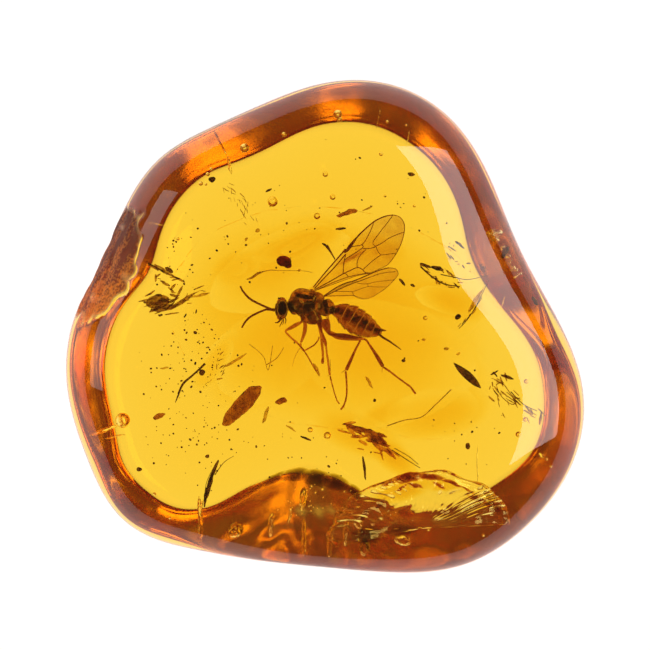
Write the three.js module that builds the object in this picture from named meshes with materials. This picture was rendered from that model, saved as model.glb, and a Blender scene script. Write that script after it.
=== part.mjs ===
// A polished pebble of Baltic amber, the kind that is kept for the insect sealed in it.
//
// Amber is fossil resin: it has one body with no parts, so the whole stone is one closed mesh.
// It is lens-like. The top is a low dome with a rounded shoulder, the widest line (the girdle)
// runs round at about half height, and below it the side slopes in to a smaller flat face.
//
// Frame: millimetres, +Z up, the broad top face up. The origin is the centre of the stone's box
// seen from above, on the flat face that it lies on. +X is the longest way across.

import * as THREE from 'three';

// ---- Driving dimensions, in millimetres ----

const HEIGHT = 10.8; // from the flat face to the middle of the dome
const DOME_RISE = 1.6; // how much the dome rises from the end of the shoulder to its middle
const SHOULDER_WIDTH = 4.6; // how far in from the girdle the rounded shoulder reaches
const SHOULDER_POWER = 2.2; // 2 is an ellipse, and more makes a squarer shoulder
const FLAT_RADIUS = 5.0; // the flat face that the stone lies on
const BELLY_RISE = 0.4; // how far the underside curves up between the flat face and the side
const FOOT_ROUND = 0.18; // share of the side that eases from the underside into its slope
const SIDE_HOLLOW = 0.15; // 0 is a straight sloping side, and 1 is a quarter of an ellipse
const GIRDLE_ROLL_WIDTH = 1.0; // how far in the rounding under the girdle reaches
const GIRDLE_ROLL_DROP = 0.6; // how far down it reaches

// One radial section every 15 degrees, counterclockwise from +X:
// [radius of the girdle, width of the sloping side seen from above, height of the girdle].
const SECTIONS = [
  [13.5, 4.7, 5.85],
  [12.1, 4.5, 5.9],
  [12.0, 4.45, 5.9],
  [13.0, 4.4, 5.8],
  [14.2, 4.4, 5.7],
  [14.6, 4.2, 5.6],
  [14.1, 4.2, 5.6],
  [13.2, 4.2, 5.6],
  [13.1, 4.3, 5.6],
  [13.8, 4.2, 5.6],
  [13.4, 4.2, 5.6],
  [13.3, 4.6, 5.6],
  [14.8, 4.3, 5.6],
  [15.5, 3.85, 5.6],
  [15.7, 3.8, 5.6],
  [16.7, 3.75, 5.6],
  [14.8, 4.5, 6.0],
  [13.9, 6.5, 7.0],
  [13.7, 6.9, 7.3],
  [14.6, 5.4, 6.7],
  [16.2, 4.7, 6.1],
  [16.5, 4.3, 5.9],
  [16.6, 3.85, 5.7],
  [15.7, 4.35, 5.8],
];

// ---- Fineness of the mesh ----

const STEPS_AROUND = 96;
const STEPS_SIDE = 10;
const STEPS_BELLY = 3;
const STEPS_SHOULDER = 10;
const STEPS_DOME = 5;

// The finish of polished amber, honey yellow.
const AMBER_COLOUR = '#e0a01e';

const clamp = THREE.MathUtils.clamp;

// The sections blended with a closed cubic B-spline, at an angle from +X.
function sectionAt(angle) {
  const count = SECTIONS.length;
  const place = (angle / (2 * Math.PI)) * count;
  const first = Math.floor(place);
  const t = place - first;
  const weights = [(1 - t) ** 3, 3 * t ** 3 - 6 * t ** 2 + 4, -3 * t ** 3 + 3 * t ** 2 + 3 * t + 1, t ** 3];
  const blended = [0, 0, 0];
  weights.forEach((weight, k) => {
    const row = SECTIONS[(first + k - 1 + count) % count];
    row.forEach((value, column) => {
      blended[column] += (weight * value) / 6;
    });
  });
  const [radius, sideWidth, girdleHeight] = blended;
  return { radius, sideWidth, girdleHeight };
}

// Height of the top, at a distance in from the girdle.
function topHeight(inset, section) {
  const across = clamp(inset / SHOULDER_WIDTH, 0, 1);
  const shoulder = (1 - (1 - across) ** SHOULDER_POWER) ** (1 / SHOULDER_POWER);
  const fromMiddle = 1 - clamp(inset / section.radius, 0, 1);
  const shoulderRise = HEIGHT - DOME_RISE - section.girdleHeight;
  return section.girdleHeight + shoulderRise * shoulder + DOME_RISE * (1 - fromMiddle ** 2);
}

// How far up its slope the side has come, from 0 at the underside to 1 at the girdle.
function sideRise(across) {
  const full = 1 - FOOT_ROUND / 2;
  const eased = across ** 2 / (2 * FOOT_ROUND * full);
  const straight = (across - FOOT_ROUND / 2) / full;
  const sloped = across < FOOT_ROUND ? eased : straight;
  const hollow = 1 - Math.sqrt(1 - clamp(across, 0, 1) ** 2);
  return sloped * (1 - SIDE_HOLLOW) + hollow * SIDE_HOLLOW;
}

// How far the rounding under the girdle lifts the side, from 0 further in to 1 at the girdle.
function girdleRoll(inset) {
  const outward = 1 - clamp(inset / GIRDLE_ROLL_WIDTH, 0, 1);
  return 1 - Math.sqrt(1 - outward ** 2);
}

// Height of the underside and the side, at a distance in from the girdle.
function underHeight(inset, section) {
  const radius = section.radius - inset;
  const edge = section.radius - section.sideWidth;
  const outward = clamp((radius - FLAT_RADIUS) / (edge - FLAT_RADIUS), 0, 1);
  const across = Math.max(1 - inset / section.sideWidth, 0);
  const slopeRise = section.girdleHeight - BELLY_RISE - GIRDLE_ROLL_DROP;
  return BELLY_RISE * outward ** 2 + slopeRise * sideRise(across) + GIRDLE_ROLL_DROP * girdleRoll(inset);
}

// The rings of the stone from the flat face up over the girdle to the dome.
// Each gives, for one section, its distance in from the girdle and its height.
function ringRules() {
  const rules = [];
  for (let step = 0; step < STEPS_BELLY; step++) {
    const share = 1 - step / STEPS_BELLY;
    rules.push((section) => {
      const inset = section.sideWidth + (section.radius - FLAT_RADIUS - section.sideWidth) * share;
      return [inset, underHeight(inset, section)];
    });
  }
  for (let step = STEPS_SIDE; step >= 0; step--) {
    const share = 1 - Math.cos(((step / STEPS_SIDE) * Math.PI) / 2);
    rules.push((section) => [section.sideWidth * share, underHeight(section.sideWidth * share, section)]);
  }
  for (let step = 1; step <= STEPS_SHOULDER; step++) {
    const share = 1 - Math.cos(((step / STEPS_SHOULDER) * Math.PI) / 2);
    rules.push((section) => [SHOULDER_WIDTH * share, topHeight(SHOULDER_WIDTH * share, section)]);
  }
  for (let step = 1; step < STEPS_DOME; step++) {
    const share = step / STEPS_DOME;
    rules.push((section) => {
      const inset = SHOULDER_WIDTH + (section.radius - SHOULDER_WIDTH) * share;
      return [inset, topHeight(inset, section)];
    });
  }
  return rules;
}

// One closed skin: a fan over the flat face, bands of quads, and a fan over the dome's middle.
function pebbleGeometry() {
  const positions = [];
  const rules = ringRules();
  for (const rule of rules) {
    for (let step = 0; step < STEPS_AROUND; step++) {
      const angle = (2 * Math.PI * step) / STEPS_AROUND;
      const section = sectionAt(angle);
      const [inset, height] = rule(section);
      const radius = section.radius - inset;
      positions.push(radius * Math.cos(angle), radius * Math.sin(angle), height);
    }
  }
  const bottomMiddle = positions.length / 3;
  positions.push(0, 0, 0);
  const topMiddle = bottomMiddle + 1;
  positions.push(0, 0, HEIGHT);

  const indices = [];
  const topRing = (rules.length - 1) * STEPS_AROUND;
  for (let step = 0; step < STEPS_AROUND; step++) {
    const next = (step + 1) % STEPS_AROUND;
    indices.push(bottomMiddle, next, step);
    indices.push(topMiddle, topRing + step, topRing + next);
    for (let ring = 0; ring < rules.length - 1; ring++) {
      const low = ring * STEPS_AROUND;
      const high = low + STEPS_AROUND;
      indices.push(low + step, low + next, high + next);
      indices.push(low + step, high + next, high + step);
    }
  }
  const geometry = new THREE.BufferGeometry();
  geometry.setAttribute('position', new THREE.Float32BufferAttribute(positions, 3));
  geometry.setIndex(indices);
  geometry.computeVertexNormals();
  return geometry;
}

function makeAmber() {
  const material = new THREE.MeshStandardMaterial({ color: AMBER_COLOUR, roughness: 0.05, metalness: 0 });
  const amber = new THREE.Mesh(pebbleGeometry(), material);
  amber.name = 'amber';
  return amber;
}

const insectInAmber = new THREE.Group();
insectInAmber.add(makeAmber());

export default insectInAmber;
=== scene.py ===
# %% [markdown]
# # A wasp sealed in amber
# This file finishes one polished pebble of Baltic amber with a small wasp inside it. The stone
# is one solid from the CAD frame. Everything sealed in it, the insect, its wings, bubbles,
# plant dust and cracks, is made here. Sizes are in millimetres until a mesh is finished,
# because a wasp is easier to think of in millimetres than in metres.

# %% Load the frame
import math

import bpy
import numpy as np
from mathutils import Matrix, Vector


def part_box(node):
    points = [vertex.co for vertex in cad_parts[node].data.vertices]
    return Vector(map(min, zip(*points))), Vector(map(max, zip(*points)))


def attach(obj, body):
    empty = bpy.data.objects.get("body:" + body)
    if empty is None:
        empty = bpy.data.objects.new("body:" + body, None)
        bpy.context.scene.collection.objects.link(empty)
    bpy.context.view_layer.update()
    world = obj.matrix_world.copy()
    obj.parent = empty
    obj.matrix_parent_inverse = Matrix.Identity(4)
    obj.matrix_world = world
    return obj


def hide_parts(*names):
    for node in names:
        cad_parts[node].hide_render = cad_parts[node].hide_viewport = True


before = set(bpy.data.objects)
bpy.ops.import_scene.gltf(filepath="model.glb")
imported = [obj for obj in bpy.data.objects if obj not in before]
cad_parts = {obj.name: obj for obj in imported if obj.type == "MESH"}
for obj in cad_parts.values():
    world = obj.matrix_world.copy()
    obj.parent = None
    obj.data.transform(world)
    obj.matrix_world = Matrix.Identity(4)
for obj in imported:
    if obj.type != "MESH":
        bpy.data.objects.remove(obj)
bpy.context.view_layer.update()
amber_low, amber_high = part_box("amber")
MM = 0.001
print("stone in the frame:", [round((high - low) / MM, 2) for low,
                              high in zip(amber_low, amber_high)], "mm")

# %% [markdown]
# ## Colours and nodes
# A colour picker shows sRGB, but a shader works in linear light, so one function turns a hex
# value to linear. Another adds a node with its settings, values and links in a single call,
# which keeps every material below short enough to read.

# %% Helpers for colours and nodes
def linear(hex_colour):
    """An sRGB hex colour as linear red, green, blue and 1 for alpha."""
    channels = [int(hex_colour[place:place + 2], 16) / 255 for place in (1, 3, 5)]
    return (*[c / 12.92 if c <= 0.04045 else ((c + 0.055) / 1.055) ** 2.4 for c in channels], 1)


def add_node(tree, kind, settings=None, values=None, links=None):
    """A new node: settings are its properties, values fill sockets and links feed them."""
    node = tree.nodes.new(kind)
    for name, value in (settings or {}).items():
        setattr(node, name, value)
    for socket, value in (values or {}).items():
        node.inputs[socket].default_value = value
    for socket, source in (links or {}).items():
        tree.links.new(source, node.inputs[socket])
    return node


def new_material(name):
    """A material with an empty node tree but for its output."""
    material = bpy.data.materials.new(name)
    material.use_nodes = True
    material.node_tree.nodes.clear()
    output = add_node(material.node_tree, "ShaderNodeOutputMaterial")
    return material, material.node_tree, output


def colour_mix(tree, factor, first, second):
    """A colour between two hex colours, by a socket."""
    mix = add_node(tree, "ShaderNodeMix", {"data_type": "RGBA"},
                   {6: linear(first), 7: linear(second)}, {0: factor})
    return mix.outputs[2]


def grain(tree, size_mm, detail=2.0, low=0.35, high=0.65):
    """A smooth random pattern from 0 to 1 with patches of about the given size."""
    coordinates = add_node(tree, "ShaderNodeTexCoord")
    noise = add_node(tree, "ShaderNodeTexNoise", values={"Scale": 1 / (size_mm * MM), "Detail": detail},
                     links={"Vector": coordinates.outputs["Object"]})
    spread = add_node(tree, "ShaderNodeMapRange", values={"From Min": low, "From Max": high},
                      links={"Value": noise.outputs["Fac"]})
    return spread.outputs[0]


def absorb(tree, output, left_after, path_mm):
    """Plain absorption inside a piece, from the share of each colour left after a path."""
    taken = [-math.log(share) / (path_mm * MM) for share in left_after]
    density = max(taken)
    colour = [1 - share / density for share in taken]
    volume = add_node(tree, "ShaderNodeVolumeAbsorption",
                      values={"Color": (*colour, 1), "Density": density})
    tree.links.new(volume.outputs[0], output.inputs["Volume"])

# %% [markdown]
# ## The pebble's shape
# The stone follows a rule: radial sections, one every 15 degrees, blended with a closed
# B-spline. The CAD solid uses the same rule with few facets. Glass and resin show each facet
# as a broken reflection, so here the rule is drawn again many times finer, and the result
# takes the CAD node's place.

# %% Rule of the pebble
HEIGHT = (amber_high.z - amber_low.z) / MM
DOME_RISE = 1.6
SHOULDER_WIDTH = 4.6
SHOULDER_POWER = 2.2
FLAT_RADIUS = 5.0
BELLY_RISE = 0.4
FOOT_ROUND = 0.18
SIDE_HOLLOW = 0.15
GIRDLE_ROLL_WIDTH = 1.0
GIRDLE_ROLL_DROP = 0.6
# One row every 15 degrees from +X: girdle radius, width of the sloping side, girdle height.
SECTIONS = np.array([
    [13.5, 4.7, 5.85], [12.1, 4.5, 5.9], [12.0, 4.45, 5.9], [13.0, 4.4, 5.8],
    [14.2, 4.4, 5.7], [14.6, 4.2, 5.6], [14.1, 4.2, 5.6], [13.2, 4.2, 5.6],
    [13.1, 4.3, 5.6], [13.8, 4.2, 5.6], [13.4, 4.2, 5.6], [13.3, 4.6, 5.6],
    [14.8, 4.3, 5.6], [15.5, 3.85, 5.6], [15.7, 3.8, 5.6], [16.7, 3.75, 5.6],
    [14.8, 4.5, 6.0], [13.9, 6.5, 7.0], [13.7, 6.9, 7.3], [14.6, 5.4, 6.7],
    [16.2, 4.7, 6.1], [16.5, 4.3, 5.9], [16.6, 3.85, 5.7], [15.7, 4.35, 5.8],
])
GIRDLE = 5.6


def section_at(angle):
    """Radius, side width and girdle height at each angle, blended from the rows."""
    place = (angle / (2 * np.pi) * len(SECTIONS)) % len(SECTIONS)
    first = np.floor(place).astype(int)
    t = (place - first)[..., None]
    weights = [(1 - t) ** 3, 3 * t ** 3 - 6 * t ** 2 + 4, -3 * t ** 3 + 3 * t ** 2 + 3 * t + 1, t ** 3]
    rows = [SECTIONS[(first + step - 1) % len(SECTIONS)] for step in range(4)]
    blended = sum(weight * row for weight, row in zip(weights, rows)) / 6
    return blended[..., 0], blended[..., 1], blended[..., 2]


def top_height(inset, radius, girdle):
    """Height of the dome and its shoulder at a distance in from the girdle."""
    across = np.clip(inset / SHOULDER_WIDTH, 0, 1)
    shoulder = (1 - (1 - across) ** SHOULDER_POWER) ** (1 / SHOULDER_POWER)
    from_middle = 1 - np.clip(inset / radius, 0, 1)
    return girdle + (HEIGHT - DOME_RISE - girdle) * shoulder + DOME_RISE * (1 - from_middle ** 2)


def under_height(inset, radius, side_width, girdle):
    """Height of the flat face, the belly, the sloping side and the roll under the girdle."""
    outward = np.clip((radius - inset - FLAT_RADIUS) / (radius - side_width - FLAT_RADIUS), 0, 1)
    across = np.clip(1 - inset / side_width, 0, 1)
    full = 1 - FOOT_ROUND / 2
    sloped = np.where(across < FOOT_ROUND, across ** 2 / (2 * FOOT_ROUND * full),
                      (across - FOOT_ROUND / 2) / full)
    hollow = 1 - np.sqrt(1 - across ** 2)
    rise = sloped * (1 - SIDE_HOLLOW) + hollow * SIDE_HOLLOW
    roll = 1 - np.sqrt(1 - (1 - np.clip(inset / GIRDLE_ROLL_WIDTH, 0, 1)) ** 2)
    slope_rise = girdle - BELLY_RISE - GIRDLE_ROLL_DROP
    return BELLY_RISE * outward ** 2 + slope_rise * rise + GIRDLE_ROLL_DROP * roll


def top_at(x, y):
    """Height of the stone's top over any place seen from above."""
    radius, _, girdle = section_at(np.arctan2(y, x))
    return top_height(radius - np.hypot(x, y), radius, girdle)

# %% [markdown]
# ## Camera
# The camera looks straight down from about 126 mm with a long lens, which is how a macro
# stand holds it. Its distance is worked out so that the frame is 37.7 mm wide at the girdle.

# %% Camera
FRAME_WIDTH = 37.72
LENS = 120
SENSOR = 36
EYE_HEIGHT = GIRDLE + FRAME_WIDTH / 2 / (SENSOR / 2 / LENS)
camera_data = bpy.data.cameras.new("camera")
camera_data.lens = LENS
camera_data.sensor_width = SENSOR
camera_data.clip_start = 0.01
camera = bpy.data.objects.new("camera", camera_data)
camera.location = (0, 0, EYE_HEIGHT * MM)
bpy.context.collection.objects.link(camera)
bpy.context.scene.camera = camera
print("camera is", round(EYE_HEIGHT, 1), "mm above the face that the stone lies on")

# %% [markdown]
# ## Seeing through the dome
# The curved top bends light, as a coin in a glass looks nearer than it is, so a piece placed
# where it should appear would be seen elsewhere. This function follows the line of sight from
# the camera through the surface by Snell's law, down to the piece's depth. Everything sealed
# in the stone is drawn where it is seen, and sunk with this function at the end.

# %% Sink what is drawn into the stone
AMBER_IOR = 1.54
SLOPE_STEP = 0.02


def sink(points):
    """Real places, in mm, of points given as seen across, seen up and true height."""
    points = np.asarray(points, float)
    ray = np.stack([points[:, 0], points[:, 1], np.full(len(points), GIRDLE - EYE_HEIGHT)], 1)
    ray /= np.linalg.norm(ray, axis=1, keepdims=True)
    height = np.full(len(points), HEIGHT)
    for _ in range(8):
        along = (height - EYE_HEIGHT) / ray[:, 2]
        x = ray[:, 0] * along
        y = ray[:, 1] * along
        height = top_at(x, y)
    slope_x = (top_at(x + SLOPE_STEP, y) - top_at(x - SLOPE_STEP, y)) / (2 * SLOPE_STEP)
    slope_y = (top_at(x, y + SLOPE_STEP) - top_at(x, y - SLOPE_STEP)) / (2 * SLOPE_STEP)
    normal = np.stack([-slope_x, -slope_y, np.ones(len(points))], 1)
    normal /= np.linalg.norm(normal, axis=1, keepdims=True)
    facing = -(ray * normal).sum(1, keepdims=True)
    ratio = 1 / AMBER_IOR
    bent = ratio * ray + (ratio * facing - np.sqrt(1 - ratio ** 2 * (1 - facing ** 2))) * normal
    down = np.maximum(height - points[:, 2], 0) / -bent[:, 2]
    return np.stack([x + bent[:, 0] * down, y + bent[:, 1] * down, points[:, 2]], 1)


print("a bubble seen at 10, 0 and 4 mm high really is at", np.round(sink([[10, 0, 4]])[0], 2))

# %% [markdown]
# ## Making pieces
# Every piece ends as a plain mesh whose object sits at the origin, in metres, and rides on
# the stone's one body. Geometry Nodes trees make what repeats or follows a path, so two small
# functions start a tree with named inputs and run one on a mesh.

# %% Helpers for meshes and trees
def mesh_from(vertices, faces, edges=()):
    """A mesh in millimetres."""
    mesh = bpy.data.meshes.new("draft")
    mesh.from_pydata([tuple(map(float, vertex)) for vertex in vertices], list(edges), faces)
    return mesh


def set_attribute(mesh, name, values):
    """A number, or a row of three, on each vertex, for a tree or a material to read."""
    values = np.asarray(values, np.float32)
    kind, field = ("FLOAT", "value") if values.ndim == 1 else ("FLOAT_VECTOR", "vector")
    attribute = mesh.attributes.new(name, kind, "POINT")
    attribute.data.foreach_set(field, values.ravel())


def make_piece(name, mesh, material=None, sunk=True):
    """Sinks a mesh drawn in millimetres, turns it to metres and lets it ride on the stone."""
    places = np.empty(len(mesh.vertices) * 3)
    mesh.vertices.foreach_get("co", places)
    places = places.reshape(-1, 3)
    if sunk:
        places = sink(places)
    mesh.vertices.foreach_set("co", (places * MM).ravel())
    mesh.polygons.foreach_set("use_smooth", [True] * len(mesh.polygons))
    if material:
        mesh.materials.clear()
        mesh.materials.append(material)
    mesh.name = name
    mesh.update()
    piece = bpy.data.objects.new(name, mesh)
    bpy.context.collection.objects.link(piece)
    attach(piece, "root")
    mesh.calc_loop_triangles()
    print(f"{name}: {len(mesh.loop_triangles)} triangles")
    return piece


def new_tree(name, inputs):
    """A Geometry Nodes tree with geometry in and out and the named inputs."""
    tree = bpy.data.node_groups.new(name, "GeometryNodeTree")
    tree.interface.new_socket("Geometry", in_out="INPUT", socket_type="NodeSocketGeometry")
    for label, value in inputs.items():
        kind = {int: "Int", float: "Float"}.get(type(value), "Material")
        socket = tree.interface.new_socket(label, in_out="INPUT", socket_type="NodeSocket" + kind)
        if value is not None:
            socket.default_value = value
    tree.interface.new_socket("Geometry", in_out="OUTPUT", socket_type="NodeSocketGeometry")
    return tree, add_node(tree, "NodeGroupInput").outputs


def end_tree(tree, geometry, material):
    """Makes real meshes of any instances, gives them the material and ends the tree."""
    real = add_node(tree, "GeometryNodeRealizeInstances", links={0: geometry})
    smooth = add_node(tree, "GeometryNodeSetShadeSmooth", links={0: real.outputs[0]})
    dressed = add_node(tree, "GeometryNodeSetMaterial",
                       links={"Geometry": smooth.outputs[0], "Material": material})
    add_node(tree, "NodeGroupOutput", links={0: dressed.outputs[0]})


def grow(tree, source, **values):
    """Runs a tree on a mesh, with its inputs by name, and returns a plain mesh."""
    holder = bpy.data.objects.new("holder", source)
    bpy.context.collection.objects.link(holder)
    modifier = holder.modifiers.new(tree.name, "NODES")
    modifier.node_group = tree
    for item in tree.interface.items_tree:
        if item.in_out == "INPUT" and item.name in values:
            modifier[item.identifier] = values[item.name]
    depsgraph = bpy.context.evaluated_depsgraph_get()
    grown = bpy.data.meshes.new_from_object(holder.evaluated_get(depsgraph))
    bpy.data.objects.remove(holder)
    return grown


def ripple(points, wavelength, seed, count=24):
    """Smooth random relief from -1 to 1: a few waves that cross each other every way."""
    chance = np.random.default_rng(seed)
    directions = chance.normal(size=(count, 3))
    directions /= np.linalg.norm(directions, axis=1, keepdims=True)
    lengths = wavelength * chance.uniform(0.7, 1.5, count)
    phases = chance.uniform(0, 2 * np.pi, count)
    waves = np.cos(points @ (directions / lengths[:, None]).T * 2 * np.pi + phases)
    return waves.sum(1) / math.sqrt(count)

# %% [markdown]
# ## Amber
# Fossil resin, ground and polished by hand. It is clear glass to the eye, with an index of
# refraction of 1.54, and it is yellow only because it swallows blue at once and green slowly:
# thin edges look lemon and long paths look brown. So its surface is white and the colour is
# all absorption, given as the share of red, green and blue left after 10 mm. The top and the
# flat face are polished bright, but the steep side underneath was only rubbed smooth, so it
# is faintly matt, a little browner, and keeps soft dents, which break the light in the rim
# into warm patches. In the bay on the left the polisher left a patch of the natural crust:
# rough, pitted and dark red-brown, with a random grain and painted glints of gold where the
# light would get through, more of them towards the crust's lower end.

# %% Amber material
AMBER_LEFT = (0.885, 0.60, 0.035)
AMBER_PATH = 10
RUBBED_ROUGHNESS = 0.22
SKIN_DARK = "#f0bc6c"
SKIN_LIGHT = "#ffe6ae"
SKIN_PATCH = 2.5
CRUST_DARK = "#5a2412"
CRUST_GRAIN_AND_GLINT = "#eaa838"
CRUST_GRIT = 0.14
CRUST_SPECKLE = 0.9
CRUST_ROUGHNESS = 0.7

# Clear and glossy on top, warm and satin on the side below, dull on the crust, with a random grain and
# painted glints of gold.
amber_material, tree, output = new_material("Polished amber")
surface = add_node(tree, "ShaderNodeBsdfPrincipled", values={"Transmission Weight": 1, "IOR": AMBER_IOR})
rubbed = add_node(tree, "ShaderNodeAttribute", {"attribute_name": "rubbed"})
matt = add_node(tree, "ShaderNodeMath", {"operation": "MULTIPLY"}, {1: RUBBED_ROUGHNESS},
                {0: rubbed.outputs["Fac"]})
skin_tone = colour_mix(tree, grain(tree, SKIN_PATCH, 3.0), SKIN_DARK, SKIN_LIGHT)
skin = add_node(tree, "ShaderNodeMix", {"data_type": "RGBA"}, {6: (1, 1, 1, 1)},
                {0: rubbed.outputs["Fac"], 7: skin_tone})
crust = add_node(tree, "ShaderNodeAttribute", {"attribute_name": "crust"})
# Painted glints: gold speckle on the crust where light would get through.
gold = add_node(tree, "ShaderNodeAttribute", {"attribute_name": "crust_painted_glint"})
speckled = add_node(tree, "ShaderNodeMath", {"operation": "MULTIPLY_ADD", "use_clamp": True},
                    {1: CRUST_SPECKLE},
                    {0: grain(tree, CRUST_GRIT, 3.0, 0.4, 0.6), 2: gold.outputs["Fac"]})
crust_tone = colour_mix(tree, speckled.outputs[0], CRUST_DARK, CRUST_GRAIN_AND_GLINT)
crusted = add_node(tree, "ShaderNodeMix", {"data_type": "RGBA"},
                   links={0: crust.outputs["Fac"], 6: skin.outputs[2], 7: crust_tone})
rough = add_node(tree, "ShaderNodeMath", {"operation": "MULTIPLY_ADD"}, {1: CRUST_ROUGHNESS},
                 {0: crust.outputs["Fac"], 2: matt.outputs[0]})
tree.links.new(rough.outputs[0], surface.inputs["Roughness"])
tree.links.new(crusted.outputs[2], surface.inputs["Base Color"])
tree.links.new(surface.outputs[0], output.inputs["Surface"])
absorb(tree, output, AMBER_LEFT, AMBER_PATH)

# %% Amber pebble
STEPS_AROUND = 480
STEPS_BELLY = 14
STEPS_SIDE = 60
STEPS_SHOULDER = 52
STEPS_DOME = 16


def pebble_rings(angle):
    """Rings of points from the flat face over the girdle to the dome, each inset and height."""
    radius, side_width, girdle = section_at(angle)
    rings = []
    for step in range(STEPS_BELLY):
        inset = side_width + (radius - FLAT_RADIUS - side_width) * (1 - step / STEPS_BELLY)
        rings.append((inset, under_height(inset, radius, side_width, girdle)))
    for step in range(STEPS_SIDE, -1, -1):
        inset = side_width * (1 - math.cos(step / STEPS_SIDE * math.pi / 2))
        rings.append((inset, under_height(inset, radius, side_width, girdle)))
    for step in range(1, STEPS_SHOULDER + 1):
        inset = SHOULDER_WIDTH * (1 - math.cos(step / STEPS_SHOULDER * math.pi / 2))
        rings.append((inset, top_height(inset, radius, girdle)))
    for step in range(1, STEPS_DOME):
        inset = SHOULDER_WIDTH + (radius - SHOULDER_WIDTH) * step / STEPS_DOME
        rings.append((inset, top_height(inset, radius, girdle)))
    return [(radius - inset, height) for inset, height in rings]


def loft(rings, first_pole, last_pole):
    """Closed skin over rings of equal count, with a fan at each end."""
    count = len(rings[0])
    vertices = np.concatenate([*rings, [first_pole], [last_pole]])
    here = np.arange(count)
    after = (here + 1) % count
    faces = []
    for ring in range(len(rings) - 1):
        low = ring * count
        high = low + count
        faces += np.stack([low + here, low + after, high + after, high + here], 1).tolist()
    first = len(rings) * count
    top = (len(rings) - 1) * count
    faces += [(first, int(b), int(a)) for a, b in zip(here, after)]
    faces += [(first + 1, top + int(a), top + int(b)) for a, b in zip(here, after)]
    return vertices, faces


angle = np.linspace(0, 2 * np.pi, STEPS_AROUND, endpoint=False)
rings = [np.stack([r * np.cos(angle), r * np.sin(angle), z], 1) for r, z in pebble_rings(angle)]
vertices, faces = loft(rings, (0, 0, 0), (0, 0, HEIGHT))
cad_width = np.array([amber_high.x - amber_low.x, amber_high.y - amber_low.y]) / MM
fit = np.minimum(cad_width / np.ptp(vertices[:, :2], axis=0), 1)
vertices[:, :2] = np.clip(vertices[:, :2] * fit, np.array(amber_low[:2]) / MM,
                          np.array(amber_high[:2]) / MM)
print("the skin has", len(vertices), "points in", len(rings), "rings")

# %% Waves of the polish
POLISH_WAVE = 0.03
POLISH_LENGTH = 7
POLISH_FADE = 3
on_top = np.clip((vertices[:, 2] - GIRDLE - 1) / POLISH_FADE, 0, 1)
vertices[:, 2] -= on_top * POLISH_WAVE * (1 + ripple(vertices, POLISH_LENGTH, seed=3))

# %% Dents and grooves of the rubbed side
# The side fades out below the girdle. The matt skin starts a few rings in, the dents further in.
SIDE_END = 4
SIDE_END_FADE = 14
SKIN_START = 3
SKIN_FADE = 6
DENT_START = 8
DENT_FADE = 18
DENTS = ((2.2, 0.11, 7), (1.0, 0.04, 8))  # size across, depth and seed
GROOVE_STRETCH = (0.16, 0.16, 1)
GROOVE_SIZE = 1.0
GROOVE_DEPTH = 0.035


def on_side(start, fade):
    """1 on the rubbed side and 0 elsewhere, from a ring on and faded over some rings."""
    ring = np.arange(len(rings)) - STEPS_BELLY
    below_girdle = np.clip((STEPS_SIDE - SIDE_END - ring) / SIDE_END_FADE, 0, 1)
    share = np.clip((ring - start) / fade, 0, 1) * below_girdle
    return np.concatenate([np.repeat(share, STEPS_AROUND), [0, 0]])


rubbed = on_side(SKIN_START, SKIN_FADE)
dented = on_side(DENT_START, DENT_FADE)
outward = vertices[:, :2] / (np.linalg.norm(vertices[:, :2], axis=1) + 1e-6)[:, None]
for size, depth, seed in DENTS:
    vertices[:, :2] -= outward * (dented * depth * (1 + ripple(vertices, size, seed)))[:, None]
grooves = ripple(vertices * GROOVE_STRETCH, GROOVE_SIZE, 9, 40)
vertices[:, :2] -= outward * (dented * GROOVE_DEPTH * (1 + grooves))[:, None]
print("the rubbed side covers", round(100 * float(rubbed.mean())), "% of the points")

# %% Crust and the finished stone
CRUST_AT = (-12.35, 3.6)
CRUST_LEAN = (0.42, 0.91)
CRUST_HALF = (3.9, 1.6)
CRUST_RAGGED = 0.16
CRUST_SHARPNESS = 5
CRUST_FADE = 0.6
CRUST_DEPTH = 0.06
CRUST_SINK = 0.6
STREAK_STRETCH = 0.45
GLINT_EDGE = -0.25
GLINT_SLOPE = -0.12
from_crust = vertices[:, :2] - CRUST_AT
along = from_crust[:, 0] * CRUST_LEAN[0] + from_crust[:, 1] * CRUST_LEAN[1]
across = from_crust[:, 0] * CRUST_LEAN[1] - from_crust[:, 1] * CRUST_LEAN[0]
edge = 1 - np.hypot(along / CRUST_HALF[0], across / CRUST_HALF[1])
edge += CRUST_RAGGED * ripple(vertices, 1.3, 51)
above_girdle = np.clip((vertices[:, 2] - GIRDLE + CRUST_FADE) / CRUST_FADE, 0, 1)
crust = np.clip(edge * CRUST_SHARPNESS, 0, 1) * above_girdle
streaked = np.column_stack([along * STREAK_STRETCH, across, vertices[:, 2]])
pits = CRUST_DEPTH * (1 + 0.5 * ripple(streaked, 0.45, 52, 60) + 0.7 * ripple(streaked, 1.3, 53))
pits = np.maximum(pits, 0)
vertices[:, 2] -= crust * pits * CRUST_SINK
vertices[:, :2] -= outward * (crust * pits)[:, None]
# Painted glints of light on the crust: gold speckle, more of it towards the lower end.
gold = GLINT_EDGE + GLINT_SLOPE * along
gold += 0.4 * ripple(streaked, 0.9, 54, 60) + 0.2 * ripple(streaked, 0.3, 55, 60)
amber_mesh = mesh_from(vertices, faces)
set_attribute(amber_mesh, "rubbed", rubbed)
set_attribute(amber_mesh, "crust", crust)
set_attribute(amber_mesh, "crust_painted_glint", np.clip(gold, -1, 1))
amber = make_piece("amber_stone", amber_mesh, amber_material, sunk=False)
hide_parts("amber")

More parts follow.
